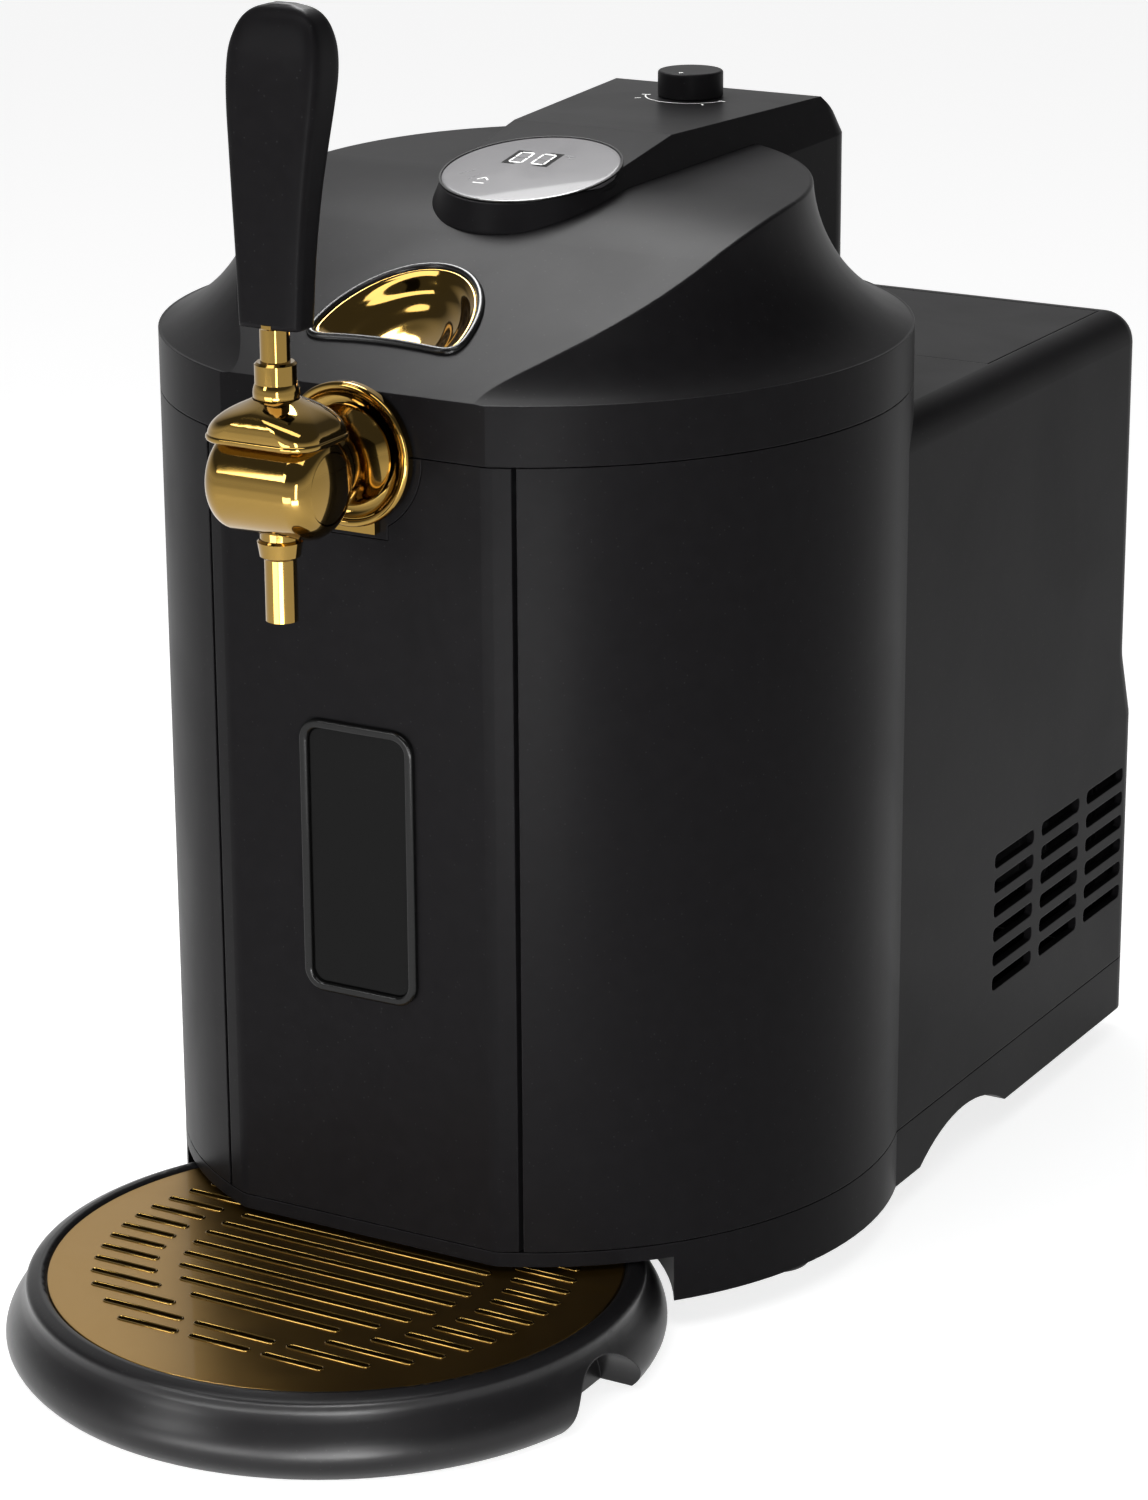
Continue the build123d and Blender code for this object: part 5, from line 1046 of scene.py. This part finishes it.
class DISPENSER_OT_studio(Operator):
    """Lays the floor and sets the lamps, the pale surroundings and the camera"""

    bl_idname = "dispenser.studio"
    bl_label = "Studio"

    # name, setting of its power, place, target and size
    LAMPS = (
        ("key_softbox", "key", (-0.85, -1.75, 1.05), (0.0, -0.12, 0.30), (0.45, 0.5)),
        ("low_card", "card", (-0.09, -0.86, 0.08), (0.0, -0.165, 0.20), (0.48, 0.15)),
        ("top_softbox", "top", (-0.21, 0.20, 0.83), (0.07, -0.05, 0.36), (0.24, 0.24)),
        ("rear_softbox", "rim", (-0.905, 1.32, 1.50), (0.0, 0.0, 0.384), (0.50, 0.27)),
        ("fill_softbox", "fill", (0.70, -1.10, 0.28), (0.05, -0.05, 0.25), (0.2, 0.56)),
        ("low_fill", "low_fill", (0.33, -0.70, 0.06), (0.05, -0.10, 0.20), (0.34, 0.11)),
        ("overhead_strip", "strip", (0.08, -0.58, 1.34), (0.0, -0.10, 0.34), (1.5, 0.34)),
    )
    FLOOR_R, FLOOR_T = 9000.0, 2.0
    WHITE, PALE_SKY, DARK_SKY = (1.0, 1.0, 1.0), (0.96, 0.96, 0.96), (0.11, 0.11, 0.112)
    # from and to values of the sky's bright patch, by closeness to its heading, and of the horizon, by height
    PATCH_HEADING, PATCH, HORIZON = (-0.50, 0.68, 0.54), (0.72, 0.98, 0.0, 0.86), (0.05, 0.36, 1.0, 0.0)
    # turn: yaw, pitch downwards and roll, in radians
    CAMERA_PLACE, CAMERA_TURN = (0.77497, -1.32591, 0.67396), (0.521, 0.3159, -0.0057)
    CAMERA_LENS, CAMERA_SENSOR = 107.436, 36.0

    def execute(self, context):
        studio = context.scene.dispenser_studio
        self.floor(context, studio.floor_glow)
        self.surroundings(context, studio.sky)
        for name, setting, place, target, size in self.LAMPS:
            self.lamp(name, place, target, size, getattr(studio, setting))
        self.camera(context)
        context.scene.view_settings.view_transform = "Standard"
        return {"FINISHED"}

    def floor(self, context, glow):
        """Wide pale floor that reads as white and keeps the object's shadow."""
        section = [(0.0, -self.FLOOR_T), (self.FLOOR_R, -self.FLOOR_T), (self.FLOOR_R, 0.0), (0.0, 0.0)]
        ground = linked("floor", mesh_from("floor", *turned(section, 96), sharp_angle=30))
        material = bpy.data.materials.new("studio_floor")
        wires = emptied(material)
        matt = wires.node("ShaderNodeBsdfDiffuse", {"Color": rgba(context.scene.dispenser_colours.floor)})
        rays = wires.node("ShaderNodeLightPath").outputs
        seen = wires.math("MAXIMUM", rays["Is Camera Ray"], rays["Is Glossy Ray"])
        seen = wires.math("MAXIMUM", seen, rays["Is Transmission Ray"])
        light = {"Color": rgba(self.WHITE), "Strength": wires.times(seen, glow)}
        lift = wires.node("ShaderNodeEmission", light)
        both = wires.node("ShaderNodeAddShader", {0: matt.outputs[0], 1: lift.outputs[0]})
        wires.node("ShaderNodeOutputMaterial", {"Surface": both.outputs[0]})
        ground.data.materials.append(material)

    def surroundings(self, context, strength):
        """Pale horizon that darkens overhead, with a bright patch high behind the object."""
        world = bpy.data.worlds.new("studio")
        context.scene.world = world
        wires = emptied(world)
        heading = wires.node("ShaderNodeTexCoord").outputs["Generated"]
        closeness = wires.dot(heading, self.PATCH_HEADING)
        height = wires.node("ShaderNodeSeparateXYZ", {0: heading}).outputs["Z"]
        share = wires.math("MAXIMUM", wires.ramp(closeness, *self.PATCH), wires.ramp(height, *self.HORIZON))
        tone = wires.blend(share, rgba(self.DARK_SKY), rgba(self.PALE_SKY))
        sky = wires.node("ShaderNodeBackground", {"Color": tone, "Strength": strength})
        wires.node("ShaderNodeOutputWorld", {"Surface": sky.outputs[0]})

    @staticmethod
    def lamp(name, place, target, size, power):
        """Rectangular softbox aimed at a point."""
        data = bpy.data.lights.new(name, "AREA")
        data.shape = "RECTANGLE"
        data.size, data.size_y = size
        data.energy = power
        lamp = linked(name, data)
        lamp.visible_camera = False
        lamp.location = place
        lamp.rotation_euler = (Vector(target) - Vector(place)).to_track_quat("-Z", "Y").to_euler()

    def camera(self, context):
        """Camera at a three-quarter view from the front right, a little above."""
        data = bpy.data.cameras.new("view")
        data.sensor_fit = "VERTICAL"
        data.sensor_width = data.sensor_height = self.CAMERA_SENSOR
        data.lens = self.CAMERA_LENS
        data.clip_end = 60.0
        camera = linked("view", data)
        yaw, pitch, roll = self.CAMERA_TURN
        stand = Matrix.Translation(self.CAMERA_PLACE)
        for angle, axis in ((yaw, "Z"), (math.pi / 2 - pitch, "X"), (roll, "Z")):
            stand = stand @ Matrix.Rotation(angle, 4, axis)
        camera.matrix_world = stand
        context.scene.camera = camera


class DISPENSER_PT_panel(Panel):
    """Lists the dispenser's pieces in the sidebar"""

    bl_idname = "DISPENSER_PT_panel"
    bl_label = "Beer dispenser"
    bl_space_type = "VIEW_3D"
    bl_region_type = "UI"
    bl_category = "Dispenser"

    def draw(self, context):
        scene = context.scene
        for operator in OPERATORS:
            self.layout.operator(operator.bl_idname)
        for settings in (scene.dispenser_colours, scene.dispenser_sizes, scene.dispenser_studio):
            box = self.layout.box()
            for key in settings.bl_rna.properties.keys():
                if key not in ("rna_type", "name"):
                    box.prop(settings, key)


SETTINGS = {
    "dispenser_colours": DispenserColours,
    "dispenser_sizes": DispenserSizes,
    "dispenser_studio": DispenserStudio,
}
OPERATORS = (
    DISPENSER_OT_studio,
    DISPENSER_OT_finishes,
    DISPENSER_OT_display,
    DISPENSER_OT_finger_scoop,
    DISPENSER_OT_handle,
    DISPENSER_OT_knob_scale,
    DISPENSER_OT_grid_beads,
    DISPENSER_OT_screws,
)


def register():
    for kind in (*SETTINGS.values(), *OPERATORS, DISPENSER_PT_panel):
        bpy.utils.register_class(kind)
    for name, kind in SETTINGS.items():
        setattr(bpy.types.Scene, name, PointerProperty(type=kind))


def unregister():
    for name in SETTINGS:
        delattr(bpy.types.Scene, name)
    for kind in reversed((*SETTINGS.values(), *OPERATORS, DISPENSER_PT_panel)):
        bpy.utils.unregister_class(kind)


def main():
    register()
    bpy.ops.dispenser.studio()
    bpy.ops.dispenser.finishes()
    bpy.ops.dispenser.display()
    bpy.ops.dispenser.finger_scoop()
    bpy.ops.dispenser.handle()
    bpy.ops.dispenser.knob_scale()
    bpy.ops.dispenser.grid_beads()
    bpy.ops.dispenser.screws()


if __name__ == "__main__":
    main()
